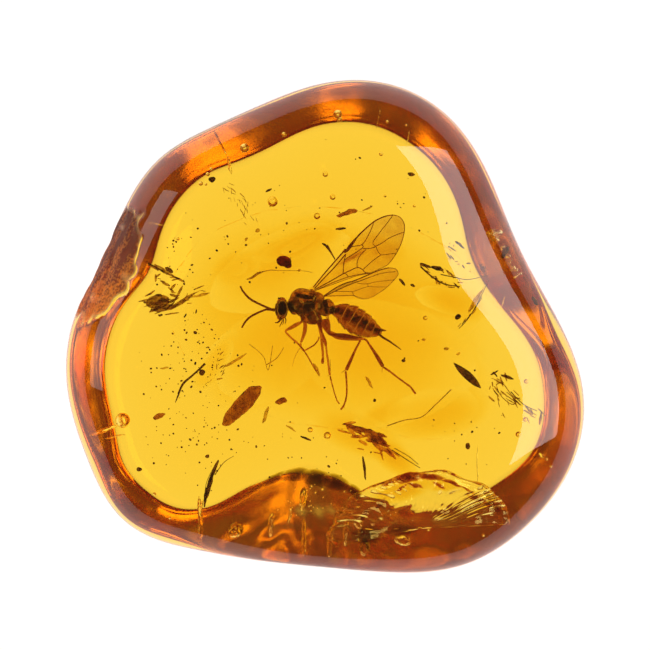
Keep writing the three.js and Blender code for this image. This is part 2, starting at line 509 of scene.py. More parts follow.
# %% [markdown]
# ## The wasp
# A small parasitoid wasp lies on its right side in the middle of the stone, head to the left,
# wings up and legs down. It is drawn in its own plane, half way up the stone, from +X, the
# way it is seen, with a third number for how far a point stands towards the eye.
#
# Chitin that has lain in resin looks like dark glass: where it is thick it is nearly black
# and where it is thin, on legs and the edges of the abdomen, light from below turns it
# orange brown. So it lets some light through and has a strong absorption of its own.

# %% Chitin
WASP_HEIGHT = 5.4
CHITIN_IOR = 1.09


def tissue(name, dark, light, patch_mm, through, left_after, path_mm,
           roughness=0.3, pit_mm=0.03, pit_depth=0.004):
    """Chitin or bark: patches of two browns, fine pits, light let through and its own absorption."""
    material, tree, output = new_material(name)
    base = colour_mix(tree, grain(tree, patch_mm), dark, light)
    bump = add_node(tree, "ShaderNodeBump", values={"Strength": 0.6, "Distance": pit_depth * MM},
                    links={"Height": grain(tree, pit_mm, 1.0, 0.4, 0.6)})
    surface = add_node(tree, "ShaderNodeBsdfPrincipled", values={
        "Transmission Weight": through, "IOR": CHITIN_IOR, "Roughness": roughness},
        links={"Base Color": base, "Normal": bump.outputs[0]})
    tree.links.new(surface.outputs[0], output.inputs["Surface"])
    if left_after:
        absorb(tree, output, left_after, path_mm)
    return material


# Dark glass on the chest, black in its grooves, gold on the thighs, browner on the thin shins
# and dull red-brown on the feelers. Pale chitin is the pale rim round each eye and, on the chest,
# a painted highlight where the light catches an edge.
thick_chitin = tissue("Thick dark chitin", "#6a380e", "#ffe8b0", 0.26, 0.92, (0.82, 0.6, 0.2), 0.5, 0.2)
black_chitin = tissue("Black chitin", "#221006", "#74390f", 0.2, 0.6, (0.5, 0.24, 0.05), 0.3, 0.2)
thin_chitin = tissue("Thin golden chitin", "#cc8a34", "#f4c878", 0.15, 0.92, (0.6, 0.38, 0.1), 0.2)
shin_chitin = tissue("Brown shin chitin", "#a86020", "#e4ac5c", 0.15, 0.88, (0.54, 0.3, 0.08), 0.16)
feeler_chitin = tissue("Feeler chitin", "#8a4a1a", "#c07a30", 0.08, 0.5, (0.45, 0.17, 0.06), 0.12)
pale_rim_and_highlight_chitin = tissue("Pale rim and painted highlight chitin", "#ffe09a", "#fff4d0", 0.1, 0.75, None, 1, 0.2)

# %% [markdown]
# ### Limbs
# Legs, feelers, wing veins and threads are all round rods that follow a path and change in
# thickness along it. One Geometry Nodes tree makes them: it turns a polyline into a smooth
# curve, spaces its points evenly and sweeps a circle along it, scaled by the radius that each
# point of the polyline carries. It is less work than modelling each rod, and each keeps its
# own taper.

# %% Limb tree
LIMB_RADIUS = "radius"


def make_limb_tree():
    """Sweeps a circle along smoothed paths, scaled by the radius that their points carry."""
    tree, given = new_tree("Limbs along paths", {"Step": 0.04, "Sides": 10, "Material": None})
    paths = add_node(tree, "GeometryNodeMeshToCurve", links={"Mesh": given["Geometry"]})
    curved = add_node(tree, "GeometryNodeCurveSplineType", {"spline_type": "CATMULL_ROM"},
                      links={"Curve": paths.outputs[0]})
    fine = add_node(tree, "GeometryNodeSetSplineResolution", values={"Resolution": 8},
                    links={"Geometry": curved.outputs[0]})
    spaced = add_node(tree, "GeometryNodeResampleCurve", {"mode": "LENGTH"},
                      links={"Curve": fine.outputs[0], "Length": given["Step"]})
    radius = add_node(tree, "GeometryNodeInputNamedAttribute", {"data_type": "FLOAT"},
                      {"Name": LIMB_RADIUS})
    ring = add_node(tree, "GeometryNodeCurvePrimitiveCircle", values={"Radius": 1},
                    links={"Resolution": given["Sides"]})
    skin = add_node(tree, "GeometryNodeCurveToMesh", values={"Fill Caps": True}, links={
        "Curve": spaced.outputs[0], "Profile Curve": ring.outputs[0], "Scale": radius.outputs[0]})
    end_tree(tree, skin.outputs[0], given["Material"])
    return tree


limb_tree = make_limb_tree()


def limbs(paths, material, height=WASP_HEIGHT, step=0.04, sides=10):
    """Rods along paths. A path is a list of (across, up, towards the eye, radius)."""
    vertices, edges = [], []
    for path in paths:
        first = len(vertices)
        vertices += [tuple(point) for point in path]
        edges += [(first + i, first + i + 1) for i in range(len(path) - 1)]
    places = [(x, y, height + z) for x, y, z, _ in vertices]
    mesh = mesh_from(places, [], edges)
    set_attribute(mesh, LIMB_RADIUS, [point[3] for point in vertices])
    return grow(limb_tree, mesh, Step=step, Sides=sides, Material=material)


def run_along(points):
    """How far along a line each of its points lies."""
    return np.concatenate([[0], np.cumsum(np.linalg.norm(np.diff(points, axis=0), axis=1))])


def path_of(flat_points, depths, radii):
    """A limb path from points seen across and up, with depths and radii spread along it."""
    flat = np.asarray(flat_points, float)
    run = run_along(flat)
    run /= run[-1]
    depths = np.atleast_1d(depths)
    depth = np.interp(run, np.linspace(0, 1, len(depths)), depths)
    radius = np.interp(run, np.linspace(0, 1, len(radii)), radii)
    return [tuple(row) for row in np.column_stack([flat, depth, radius])]


SWELL_START = 0.12
SWELL_SPEED = 0.62
SWELL_POWER = 0.8


def jointed(path, joints, waist=0.72, per_joint=6):
    """The same path cut in joints that are narrow where they start and swell to their end."""
    path = np.asarray(path, float)
    run = run_along(path[:, :2])
    run /= run[-1]
    fine = np.linspace(0, 1, joints * per_joint + 1)
    points = np.column_stack([np.interp(fine, run, path[:, column]) for column in range(4)])
    phase = (fine * joints) % 1
    swell = np.sin(np.pi * np.minimum(phase * SWELL_SPEED + SWELL_START, 0.5)) ** SWELL_POWER
    points[:, 3] *= waist + (1 - waist) * swell
    return [tuple(row) for row in points]

# %% Legs and feelers
def limb_paths(parts):
    """Paths of parts: points, depths and radii along them and, if jointed, the joints."""
    return [jointed(path_of(*part[:3]), *part[3:]) if part[3:] else path_of(*part) for part in parts]


# Coxa, femur, tibia and foot are parts of their own, because each has its own swelling.
fore_near = [
    ([(-1.39, 0.6), (-1.29, 0.29), (-1.42, 0.1)], (0.35, 0.5), (0.11, 0.12, 0.06)),
    ([(-1.36, 0.14), (-1.65, 0.0), (-2.0, -0.19), (-2.28, -0.33)], (0.5, 0.7), (0.06, 0.115, 0.1, 0.055)),
    ([(-2.28, -0.33), (-2.26, -0.46), (-1.94, -0.78), (-1.6, -1.06)], (0.7, 0.8),
     (0.06, 0.05, 0.06, 0.06)),
    ([(-1.6, -1.06), (-1.31, -1.36), (-1.02, -1.8), (-0.78, -2.21), (-0.53, -2.64), (-0.41, -2.62)],
     (0.8, 0.7), (0.052, 0.04, 0.045), 6),
]
fore_far = [
    ([(-1.24, 0.42), (-1.16, 0.05), (-1.16, -0.25), (-1.24, -0.6), (-1.4, -1.02)], (-0.1, -0.4),
     (0.1, 0.11, 0.12, 0.1, 0.06)),
    ([(-1.42, -1.05), (-1.38, -1.3), (-1.25, -1.48), (-0.96, -1.37)], -0.4, (0.05, 0.04, 0.05)),
    ([(-0.96, -1.37), (-0.61, -1.16), (-0.4, -0.9), (-0.33, -0.7)], (-0.4, -0.3), (0.045, 0.04), 5),
]
mid_near = [
    ([(-0.36, 0.3), (-0.3, -0.02), (-0.2, -0.4)], (0.45, 0.6), (0.13, 0.14, 0.07)),
    ([(-0.22, -0.36), (-0.12, -0.72), (0.0, -0.99), (0.07, -1.3)], (0.6, 0.8), (0.06, 0.12, 0.11, 0.05)),
    ([(0.07, -1.28), (0.1, -1.6), (0.17, -2.03), (0.23, -2.5), (0.29, -2.9)], (0.8, 0.9),
     (0.05, 0.06, 0.065)),
    ([(0.3, -2.95), (0.41, -3.42), (0.55, -3.95), (0.7, -4.4), (0.84, -4.58)], (0.9, 0.7),
     (0.045, 0.035, 0.04), 5),
]
mid_far = [
    ([(-0.34, 0.2), (-0.27, -0.3), (-0.22, -0.7)], (-0.3, -0.45), (0.12, 0.1, 0.06)),
    ([(-0.22, -0.66), (-0.18, -1.04), (-0.13, -1.51), (-0.11, -1.95)], (-0.45, -0.6),
     (0.06, 0.085, 0.07, 0.06)),
    ([(-0.12, -1.9), (-0.14, -2.1), (-0.13, -2.24)], -0.6, (0.06, 0.1, 0.06)),
]
hind_near = [
    ([(0.03, 0.3), (0.08, -0.05), (0.2, -0.4)], (0.45, 0.55), (0.22, 0.25, 0.14)),
    ([(0.18, -0.36), (0.3, -0.52), (0.46, -0.58)], (0.55, 0.6), (0.14, 0.11, 0.08)),
    ([(0.42, -0.57), (0.67, -0.61), (1.13, -0.67), (1.6, -0.74), (2.1, -0.8), (2.33, -0.83)], (0.6, 0.7),
     (0.07, 0.15, 0.17, 0.14, 0.1, 0.065)),
    ([(2.33, -0.83), (2.45, -0.95), (2.66, -1.26), (2.93, -1.66), (3.16, -2.03), (3.38, -2.4)],
     (0.7, 0.6), (0.06, 0.06, 0.075, 0.1, 0.12, 0.1)),
    ([(3.4, -2.43), (3.8, -2.7), (4.21, -3.02), (4.61, -3.31), (4.96, -3.56), (5.14, -3.8),
      (5.26, -3.97)], (0.6, 0.3), (0.062, 0.052, 0.05, 0.06), 5),
]
hind_far = [
    ([(0.2, -0.4), (0.7, -0.66), (1.2, -0.74), (1.7, -0.8), (2.08, -0.86)], (-0.35, -0.5),
     (0.1, 0.16, 0.17, 0.14, 0.07)),
    ([(2.08, -0.88), (1.93, -1.17), (1.77, -1.47), (1.5, -2.06), (1.25, -2.6)], (-0.5, -0.6),
     (0.055, 0.06, 0.075, 0.1, 0.105)),
    ([(1.22, -2.68), (1.26, -3.19), (1.28, -3.66), (1.26, -4.06), (1.2, -4.4), (1.08, -4.72),
      (0.92, -4.92)], (-0.6, -0.9), (0.06, 0.05, 0.05, 0.06), 5),
]
spurs = [
    ([(3.36, -2.42), (3.33, -2.6), (3.34, -2.76)], (0.6, 0.62), (0.022, 0.008)),
    ([(3.4, -2.4), (3.5, -2.5), (3.56, -2.62)], (0.6, 0.5), (0.02, 0.006)),
    ([(1.22, -2.6), (1.08, -2.68), (0.94, -2.78)], -0.6, (0.022, 0.008)),
    ([(1.24, -2.64), (1.14, -2.8)], (-0.6, -0.7), (0.02, 0.006)),
    ([(0.28, -2.86), (0.2, -2.92), (0.13, -2.98)], 0.9, (0.018, 0.006)),
    ([(-0.14, -0.96), (0.02, -1.02), (0.14, -1.08)], (0.7, 0.8), (0.02, 0.01)),
    ([(-1.4, -1.3), (-1.6, -1.55), (-1.8, -2.0), (-1.9, -2.4)], (-0.3, -0.2), (0.018, 0.006)),
]
thigh_parts = fore_near[:3] + fore_far[:2] + mid_near[:3] + mid_far[:2] + hind_near[:3] + hind_far[:1]
shin_parts = fore_near[3:] + fore_far[2:] + mid_near[3:] + mid_far[2:] + hind_near[3:] + hind_far[1:]
shin_parts += spurs
make_piece("wasp_thighs", limbs(limb_paths(thigh_parts), thin_chitin))
make_piece("wasp_shins", limbs(limb_paths(shin_parts), shin_chitin))

FEELER_JOINTS = 15
feelers = [
    ([(-2.95, 0.86), (-3.13, 0.87), (-3.39, 0.99), (-3.63, 1.1), (-3.95, 1.25), (-4.26, 1.42),
      (-4.5, 1.6), (-4.67, 1.8), (-4.85, 2.03), (-4.95, 2.26)], (0.2, 0.5),
     (0.085, 0.062, 0.062, 0.066, 0.06, 0.05), FEELER_JOINTS, 0.82),
    ([(-2.95, 0.82), (-3.16, 0.86), (-3.47, 0.88), (-3.86, 0.73), (-4.21, 0.56), (-4.44, 0.41),
      (-4.61, 0.23), (-4.74, 0.03), (-4.83, -0.16)], (-0.1, -0.3), (0.08, 0.06, 0.06, 0.066, 0.06, 0.048),
     FEELER_JOINTS, 0.82),
]
make_piece("wasp_feelers", limbs(limb_paths(feelers), feeler_chitin, step=0.012))

# %% [markdown]
# ### Head and chest
# An insect's body is a suit of convex plates that meet in grooves. Each plate is a rounded,
# slightly squared dome with its own size and lean, and plates that overlap leave the grooves
# by themselves. A little relief on each stops them looking turned on a lathe.

# %% Plates
PLATE_AROUND = 40
PLATE_ALONG = 24


def plate(centre, half, turn, squareness=2.3, relief=0.02, seed=1):
    """One rounded plate: rings from one pole to the other, turned in the plane of the wasp."""
    lean = math.radians(turn)
    along = np.linspace(0, np.pi, PLATE_ALONG + 1)[1:-1]
    around = np.linspace(0, 2 * np.pi, PLATE_AROUND, endpoint=False)

    def squared(value):
        return np.sign(value) * np.abs(value) ** (2 / squareness)

    def placed(x, y, z):
        shape = np.stack([x * half[0], y * half[1], z * half[2]], -1)
        size = 1 + relief * ripple(np.stack([x, y, z], -1), 0.8, seed)[:, None]
        x, y, z = (shape * size).T
        return np.stack([centre[0] + x * math.cos(lean) - y * math.sin(lean),
                         centre[1] + x * math.sin(lean) + y * math.cos(lean),
                         centre[2] + z], -1)

    rings = [placed(np.full(PLATE_AROUND, -squared(math.cos(a))),
                    squared(np.cos(around)) * squared(math.sin(a)),
                    squared(np.sin(around)) * squared(math.sin(a))) for a in along]
    poles = placed(np.array([-1.0, 1.0]), np.zeros(2), np.zeros(2))
    return loft(rings, poles[0], poles[1])


def joined(blocks):
    """Several blocks of vertices and faces as one block."""
    vertices, faces = [], []
    for points, skin in blocks:
        start = sum(len(block) for block in vertices)
        vertices.append(points)
        faces += [tuple(start + corner for corner in face) for face in skin]
    return np.concatenate(vertices), faces


def plates(rows):
    """Several plates as one mesh. A row is centre, half sizes and turn."""
    return mesh_from(*joined(plate((x, y, WASP_HEIGHT + z), half, turn, seed=seed)
                             for seed, ((x, y, z), half, turn) in enumerate(rows)))


BOTH_SIDES = (1, -1)
chest_plates = [
    ((-1.28, 1.36, 0), (0.8, 0.76, 0.6), -10),  # the dome of the back
    ((-0.36, 1.6, 0), (0.36, 0.28, 0.34), -35),  # the little shield behind it
    ((-1.8, 1.08, 0), (0.38, 0.52, 0.46), 15),  # collar
    ((-2.06, 0.98, 0), (0.28, 0.2, 0.22), 0),  # neck
    ((-0.78, 0.36, 0), (0.62, 0.36, 0.45), -8),  # breast
    ((0.1, 0.98, 0), (0.44, 0.52, 0.5), -35),  # hind part of the chest
    ((0.4, 0.84, 0), (0.22, 0.24, 0.26), -30),  # its narrow end
    ((-0.72, 1.86, 0), (0.24, 0.2, 0.4), -40),  # where the wings start
]
for side in BOTH_SIDES:
    chest_plates += [
        ((-0.93, 1.04, side * 0.5), (0.38, 0.34, 0.22), 10),  # upper flank
        ((-0.28, 0.98, side * 0.42), (0.3, 0.46, 0.2), 20),  # hind flank
        ((-1.45, 0.86, side * 0.4), (0.3, 0.4, 0.18), 30),  # front flank
    ]
make_piece("wasp_chest", plates(chest_plates), thick_chitin)

black_plates, flank_plates, painted_highlight_plates = [], [], []
for side in BOTH_SIDES:
    black_plates += [
        ((-1.96, 1.02, side * 0.2), (0.2, 0.3, 0.2), 10),  # neck
        ((-1.16, 1.6, side * 0.52), (0.5, 0.12, 0.1), -6),  # under the dome's bright edge
        ((-0.94, 1.0, side * 0.72), (0.24, 0.2, 0.08), 20),
        ((0.06, 1.06, side * 0.44), (0.14, 0.4, 0.12), 6),  # column behind the flank
        ((-0.6, 1.5, side * 0.5), (0.16, 0.1, 0.1), 50),
    ]
    flank_plates += [
        ((-0.72, 0.5, side * 0.5), (0.3, 0.5, 0.26), 22),  # the large smooth flank plate
        ((-1.62, 1.36, side * 0.46), (0.16, 0.3, 0.12), 20),
        ((-0.3, 1.3, side * 0.5), (0.14, 0.22, 0.1), 30),
        ((0.3, 0.9, side * 0.3), (0.22, 0.12, 0.14), -30),
    ]
    # Painted highlights: thin pale plates where the light catches the chest's dome and edges.
    painted_highlight_plates += [
        ((-1.18, 1.98, side * 0.36), (0.42, 0.06, 0.08), -6),  # light along the dome
        ((-0.62, 1.52, side * 0.66), (0.05, 0.2, 0.03), -28),
        ((-1.36, 1.34, side * 0.64), (0.16, 0.07, 0.03), -30),
        ((-1.72, 0.98, side * 0.5), (0.1, 0.14, 0.04), 20),
        ((-0.34, 1.1, side * 0.66), (0.08, 0.16, 0.03), 14),
        ((-0.74, 0.86, side * 0.78), (0.14, 0.035, 0.02), -40),
        ((-0.5, 0.5, side * 0.7), (0.06, 0.3, 0.03), 22),
        ((0.16, 0.42, side * 0.5), (0.1, 0.08, 0.04), 0),
    ]
# The smooth flank plates glow golden.
flank_chitin = tissue("Golden flank chitin", "#b87c30", "#ffd884", 0.25, 0.88,
                      (0.74, 0.52, 0.18), 0.4, 0.15)
make_piece("wasp_black_plates", plates(black_plates), black_chitin)
make_piece("wasp_flanks", plates(flank_plates), flank_chitin)
make_piece("wasp_painted_highlight_plates", plates(painted_highlight_plates), pale_rim_and_highlight_chitin)

head_plates = [
    ((-2.52, 0.95, 0), (0.36, 0.64, 0.56), 0),  # the head itself
    ((-2.74, 0.86, 0), (0.2, 0.42, 0.34), 5),  # face
    ((-2.62, 0.44, 0), (0.2, 0.16, 0.24), 10),  # mouth
]
# The head is a little darker than the flanks, amber brown round the black eyes.
head_chitin = tissue("Head chitin", "#d8983f", "#ffe0a0", 0.25, 0.85, (0.68, 0.44, 0.16), 0.5, 0.2)
make_piece("wasp_head", plates(head_plates), head_chitin)

jaws = [
    ([(-2.6, 0.44), (-2.64, 0.24), (-2.78, 0.12), (-2.92, 0.12)], (0.2, 0.1), (0.07, 0.06, 0.02)),
    ([(-2.56, 0.42), (-2.5, 0.2), (-2.58, 0.02), (-2.66, -0.14)], (0.1, 0.2), (0.035, 0.03, 0.03, 0.015)),
    ([(-2.36, 0.44), (-2.28, 0.24), (-2.34, 0.02)], (0.15, 0.2), (0.035, 0.03, 0.012)),
    ([(-2.44, 0.4), (-2.42, 0.14), (-2.5, -0.02)], (-0.15, -0.2), (0.03, 0.03, 0.012)),
]
make_piece("wasp_jaws", limbs(limb_paths(jaws), feeler_chitin, step=0.02))

# %% [markdown]
# ### Eyes
# A compound eye is a tight dome of hundreds of lenses, about 0.02 mm across. They are finer
# than anything that shows at this distance, so they are a faint bump of cells, drawn at twice
# their size.

# %% Eyes
EYE_FACET = 0.04
# Black with a deep red glow and a fine grain that keeps the highlight soft.
eye_material, tree, output = new_material("Compound eye")
coordinates = add_node(tree, "ShaderNodeTexCoord")
cells = add_node(tree, "ShaderNodeTexVoronoi", {"feature": "DISTANCE_TO_EDGE"},
                 {"Scale": 1 / (EYE_FACET * MM)},
                 {"Vector": coordinates.outputs["Object"]})
bump = add_node(tree, "ShaderNodeBump", values={"Strength": 0.4, "Distance": 0.004 * MM},
                links={"Height": cells.outputs[0]})
eye_tone = colour_mix(tree, grain(tree, 0.3), "#1a0503", "#3a0f08")
surface = add_node(tree, "ShaderNodeBsdfPrincipled",
                   values={"Roughness": 0.3, "Transmission Weight": 0.1, "IOR": 1.1},
                   links={"Base Color": eye_tone, "Normal": bump.outputs[0]})
tree.links.new(surface.outputs[0], output.inputs["Surface"])

EYE_AT = (-2.5, 0.93)
EYE_RIM_HALF = (0.29, 0.47)
EYE_RIM_POINTS = 25
eyes = plates([((*EYE_AT, side * 0.42), (0.24, 0.4, 0.22), 3) for side in BOTH_SIDES])
make_piece("wasp_eyes", eyes, eye_material)
eye_outline = [(EYE_AT[0] + EYE_RIM_HALF[0] * math.cos(a), EYE_AT[1] + EYE_RIM_HALF[1] * math.sin(a))
               for a in np.linspace(0, 2 * np.pi, EYE_RIM_POINTS)]
eye_rims = [[(*place, side * 0.47, 0.028) for place in eye_outline] for side in BOTH_SIDES]
simple_eyes = [path_of([(-2.68 + shift, 1.48), (-2.62 + shift, 1.56)], (depth, depth), (0.05, 0.045))
               for shift, depth in ((0, 0.1), (0.03, -0.1), (-0.07, 0))]
make_piece("wasp_eye_rims", limbs(eye_rims, pale_rim_and_highlight_chitin))
make_piece("wasp_simple_eyes", limbs(simple_eyes, eye_material, step=0.01))

# %% [markdown]
# ### Abdomen
# The abdomen is a row of rings, each tucked under the one before it. It is lofted along a
# line through its middle, and inside each ring the radius grows towards the hind edge and
# then steps in. Every point carries how far along its ring it is and how far round it lies,
# so that one material can make a dark band along the middle, amber back and belly and pale
# hind edges.

# %% Abdomen
# Each row: seen across, seen up and half of its height. The width is a share of the height.
ABDOMEN = np.array([
    (0.3, 0.84, 0.14), (0.45, 0.84, 0.24), (0.66, 0.8, 0.38), (0.86, 0.75, 0.5), (1.07, 0.66, 0.62),
    (1.54, 0.4, 0.77), (2.0, 0.1, 0.77), (2.47, -0.15, 0.66), (2.87, -0.33, 0.46), (3.12, -0.42, 0.3),
    (3.28, -0.48, 0.12),
])
ABDOMEN_WIDTH = 0.82
RING_ENDS = (0.0, 0.09, 0.27, 0.43, 0.58, 0.73, 0.86, 1.0)
RING_STEP = 0.05
RING_SLICES = 9
RING_START = 0.01
RING_REACH = 0.97
RING_HEM = 0.85
ABDOMEN_AROUND = 64
LOOK_AHEAD = 0.03


def abdomen_mesh():
    """The rings as one closed skin, with how far along its ring and how far round each point is."""
    run = run_along(ABDOMEN[:, :2])
    run /= run[-1]

    def middle_at(place):
        return [np.interp(place, run, column) for column in ABDOMEN.T]

    around = np.linspace(0, 2 * np.pi, ABDOMEN_AROUND, endpoint=False)
    rings, phases = [], []
    for start, end in zip(RING_ENDS[:-1], RING_ENDS[1:]):
        for slice_ in range(RING_SLICES):
            phase = slice_ / (RING_SLICES - 1)
            place = start + (end - start) * (phase * RING_REACH + RING_START)
            x, y, half = middle_at(place)
            ahead = middle_at(min(place + LOOK_AHEAD, 1))
            behind = middle_at(max(place - LOOK_AHEAD, 0))
            heading = math.atan2(ahead[1] - behind[1], ahead[0] - behind[0])
            bulge = 1 - RING_STEP + 2 * RING_STEP * math.sin(min(phase, RING_HEM) * math.pi * 0.58)
            bulge -= 0.6 * RING_STEP * max(phase - RING_HEM, 0) / 0.15
            up = half * bulge * np.cos(around)
            out = half * bulge * ABDOMEN_WIDTH * np.sin(around)
            rings.append(np.stack([x - up * math.sin(heading), y + up * math.cos(heading),
                                   WASP_HEIGHT + out], 1))
            phases.append(np.full(ABDOMEN_AROUND, phase))
    first = (*ABDOMEN[0, :2], WASP_HEIGHT)
    last = (*ABDOMEN[-1, :2] + (0.05, -0.01), WASP_HEIGHT)
    points, faces = loft(rings[::-1], last, first)
    mesh = mesh_from(points, faces)
    set_attribute(mesh, "ring_phase", np.concatenate([*phases[::-1], [1, 0]]))
    set_attribute(mesh, "back", np.concatenate([np.tile(np.cos(around), len(rings)), [0, 0]]))
    return mesh


# The band lies round BAND_MIDDLE of the half height: dark within its core, gone at its edge.
BAND_MIDDLE = 0.12
BAND_CORE = 0.26
BAND_EDGE = 0.62
HEM_START = 0.82
HEM_FULL = 0.9


def abdomen_chitin():
    """A dark band between an amber back and belly, with pale hind edges."""
    material, tree, output = new_material("Abdomen chitin")
    phase = add_node(tree, "ShaderNodeAttribute", {"attribute_name": "ring_phase"}).outputs["Fac"]
    back = add_node(tree, "ShaderNodeAttribute", {"attribute_name": "back"}).outputs["Fac"]
    uneven = add_node(tree, "ShaderNodeMath", {"operation": "MULTIPLY_ADD"}, {1: 0.3, 2: -0.15},
                      {0: grain(tree, 0.25)})
    height = add_node(tree, "ShaderNodeMath", {"operation": "ADD"}, links={0: back, 1: uneven.outputs[0]})
    off_band = add_node(tree, "ShaderNodeMath", {"operation": "SUBTRACT"}, {1: BAND_MIDDLE},
                        {0: height.outputs[0]})
    distance = add_node(tree, "ShaderNodeMath", {"operation": "ABSOLUTE"}, links={0: off_band.outputs[0]})
    darkness = add_node(tree, "ShaderNodeMapRange", {"interpolation_type": "SMOOTHSTEP"},
                        {"From Min": BAND_EDGE, "From Max": BAND_CORE}, {"Value": distance.outputs[0]})
    edge = add_node(tree, "ShaderNodeMapRange", {"interpolation_type": "SMOOTHSTEP"},
                    {"From Min": HEM_START, "From Max": HEM_FULL, "To Max": 0.95}, {"Value": phase})
    belly = colour_mix(tree, grain(tree, 0.2, 2.0, 0.42, 0.58), "#c88438", "#fff6cc")
    backs = colour_mix(tree, grain(tree, 0.22, 2.0, 0.4, 0.62), "#180802", "#a4602a")
    body = add_node(tree, "ShaderNodeMix", {"data_type": "RGBA"},
                    links={0: darkness.outputs[0], 6: belly, 7: backs})
    base = add_node(tree, "ShaderNodeMix", {"data_type": "RGBA"}, {7: linear("#fff0b8")},
                    {0: edge.outputs[0], 6: body.outputs[2]})
    bump = add_node(tree, "ShaderNodeBump", values={"Strength": 0.5, "Distance": 0.004 * MM},
                    links={"Height": grain(tree, 0.03, 1.0, 0.4, 0.6)})
    surface = add_node(tree, "ShaderNodeBsdfPrincipled", values={
        "Transmission Weight": 0.85, "IOR": CHITIN_IOR, "Roughness": 0.25},
        links={"Base Color": base.outputs[2], "Normal": bump.outputs[0]})
    tree.links.new(surface.outputs[0], output.inputs["Surface"])
    absorb(tree, output, (0.88, 0.76, 0.3), 0.9)
    return material


make_piece("wasp_abdomen", abdomen_mesh(), abdomen_chitin())

sting = [
    ([(3.1, -0.54), (3.34, -0.74), (3.57, -0.88), (3.8, -1.02), (4.09, -1.22), (4.42, -1.46)], 0,
     (0.065, 0.055, 0.05, 0.045, 0.04, 0.02)),
    ([(3.14, -0.5), (3.36, -0.7), (3.6, -0.85), (3.84, -0.99)], 0.06, (0.03, 0.03, 0.015)),
    ([(3.24, -0.3), (3.42, -0.34), (3.58, -0.35)], 0, (0.09, 0.06, 0.012)),
]
make_piece("wasp_sting", limbs(limb_paths(sting), feeler_chitin))

# %% [markdown]
# ### Wings
# A wing is a film about a hundredth of a millimetre thick on a frame of veins. Each film is
# lofted between its leading and trailing edge as a closed sheet with two faces, and both it
# and its veins stand off the body by the same rule, so the veins lie in the film. The far
# pair lies right behind the near pair. Inside resin the film bends no light, so its index is
# 1, and only its brownish tint shows.

# %% Wing films
WING_FILM = 0.012
FILM_LONG = 60
FILM_WIDE = 18
WING_ROOT = (-0.4, 1.9)
WING_STAND = 0.35
WING_SPREAD = 0.12
HIND_SHARE = 0.8  # how far a hind wing stands off, as a share of a fore wing
PLEATS = 40
PLEAT_DEPTH = 0.02

fore_lead = [
    (-0.67, 2.21), (-0.03, 3.0), (0.61, 3.74), (1.31, 4.51), (2.12, 5.34), (2.85, 5.98), (3.48, 6.29),
    (3.96, 6.38), (4.34, 6.27), (4.6, 5.92), (4.63, 5.4),
]
fore_trail = [
    (-0.6, 2.0), (0.35, 2.32), (1.31, 2.67), (2.0, 2.9), (2.64, 3.02), (3.19, 3.25), (3.71, 3.54),
    (4.15, 4.12), (4.44, 4.7), (4.63, 5.4),
]
hind_lead = [
    (-0.06, 1.65), (0.63, 2.15), (1.79, 2.59), (2.66, 2.97), (3.22, 3.19), (3.71, 3.33), (4.09, 3.28),
    (4.26, 3.08),
]
hind_trail = [
    (0.0, 1.6), (0.84, 1.62), (1.69, 1.66), (2.18, 1.5), (2.7, 1.6), (3.14, 1.86), (3.67, 2.25),
    (4.2, 2.83), (4.26, 3.08),
]


def wing_depth(x, y, side):
    """How far a wing stands towards the eye: more further from the body, with faint pleats."""
    out_x = x - WING_ROOT[0]
    out_y = y - WING_ROOT[1]
    pleats = PLEAT_DEPTH * np.sin(np.arctan2(out_y, out_x) * PLEATS)
    return side * (WING_STAND + WING_SPREAD * np.hypot(out_x, out_y) + pleats)


def evenly(points, count):
    """Points spread evenly along a smooth curve through the given ones."""
    points = np.asarray(points, float)
    padded = np.vstack([2 * points[0] - points[1], points, 2 * points[-1] - points[-2]])
    dense = []
    for i in range(1, len(padded) - 2):
        t = np.linspace(0, 1, 12, endpoint=False)[:, None]
        a, b, c, d = padded[i - 1:i + 3]
        dense.append(b + 0.5 * t * (c - a + t * (2 * a - 5 * b + 4 * c - d + t * (3 * (b - c) + d - a))))
    dense = np.vstack([*dense, points[-1:]])
    run = run_along(dense)
    even = np.linspace(0, run[-1], count)
    return np.column_stack([np.interp(even, run, dense[:, column]) for column in range(dense.shape[1])])


def closed_sheet(upper, lower, sides_inward=False):
    """Vertices and faces of two grids of points, one over the other, closed along their rim."""
    rows, columns = upper.shape[:2]
    grid = np.arange(rows * columns).reshape(rows, columns)
    faces = np.stack([grid[:-1, :-1], grid[:-1, 1:], grid[1:, 1:], grid[1:, :-1]], -1).reshape(-1, 4)
    rim = np.concatenate([grid[:-1, 0], grid[-1, :-1], grid[:0:-1, -1], grid[0, :0:-1]])
    before = np.roll(rim, 1)
    sides = np.stack([before, rim, rim + grid.size, before + grid.size], 1)
    if sides_inward:
        sides = sides[:, ::-1]
    skin = np.concatenate([faces, faces[:, ::-1] + grid.size, sides])
    return np.concatenate([upper.reshape(-1, 3), lower.reshape(-1, 3)]), skin.tolist()


def film(lead, trail, side):
    """A closed thin sheet between two edges, as vertices and faces."""
    first = evenly(lead, FILM_LONG)
    second = evenly(trail, FILM_LONG)
    share = np.linspace(0, 1, FILM_WIDE)[None, :, None]
    flat = first[:, None] * (1 - share) + second[:, None] * share
    depth = WASP_HEIGHT + wing_depth(flat[..., 0], flat[..., 1], side)
    return closed_sheet(*(np.dstack([flat, depth + half]) for half in (WING_FILM / 2, -WING_FILM / 2)))


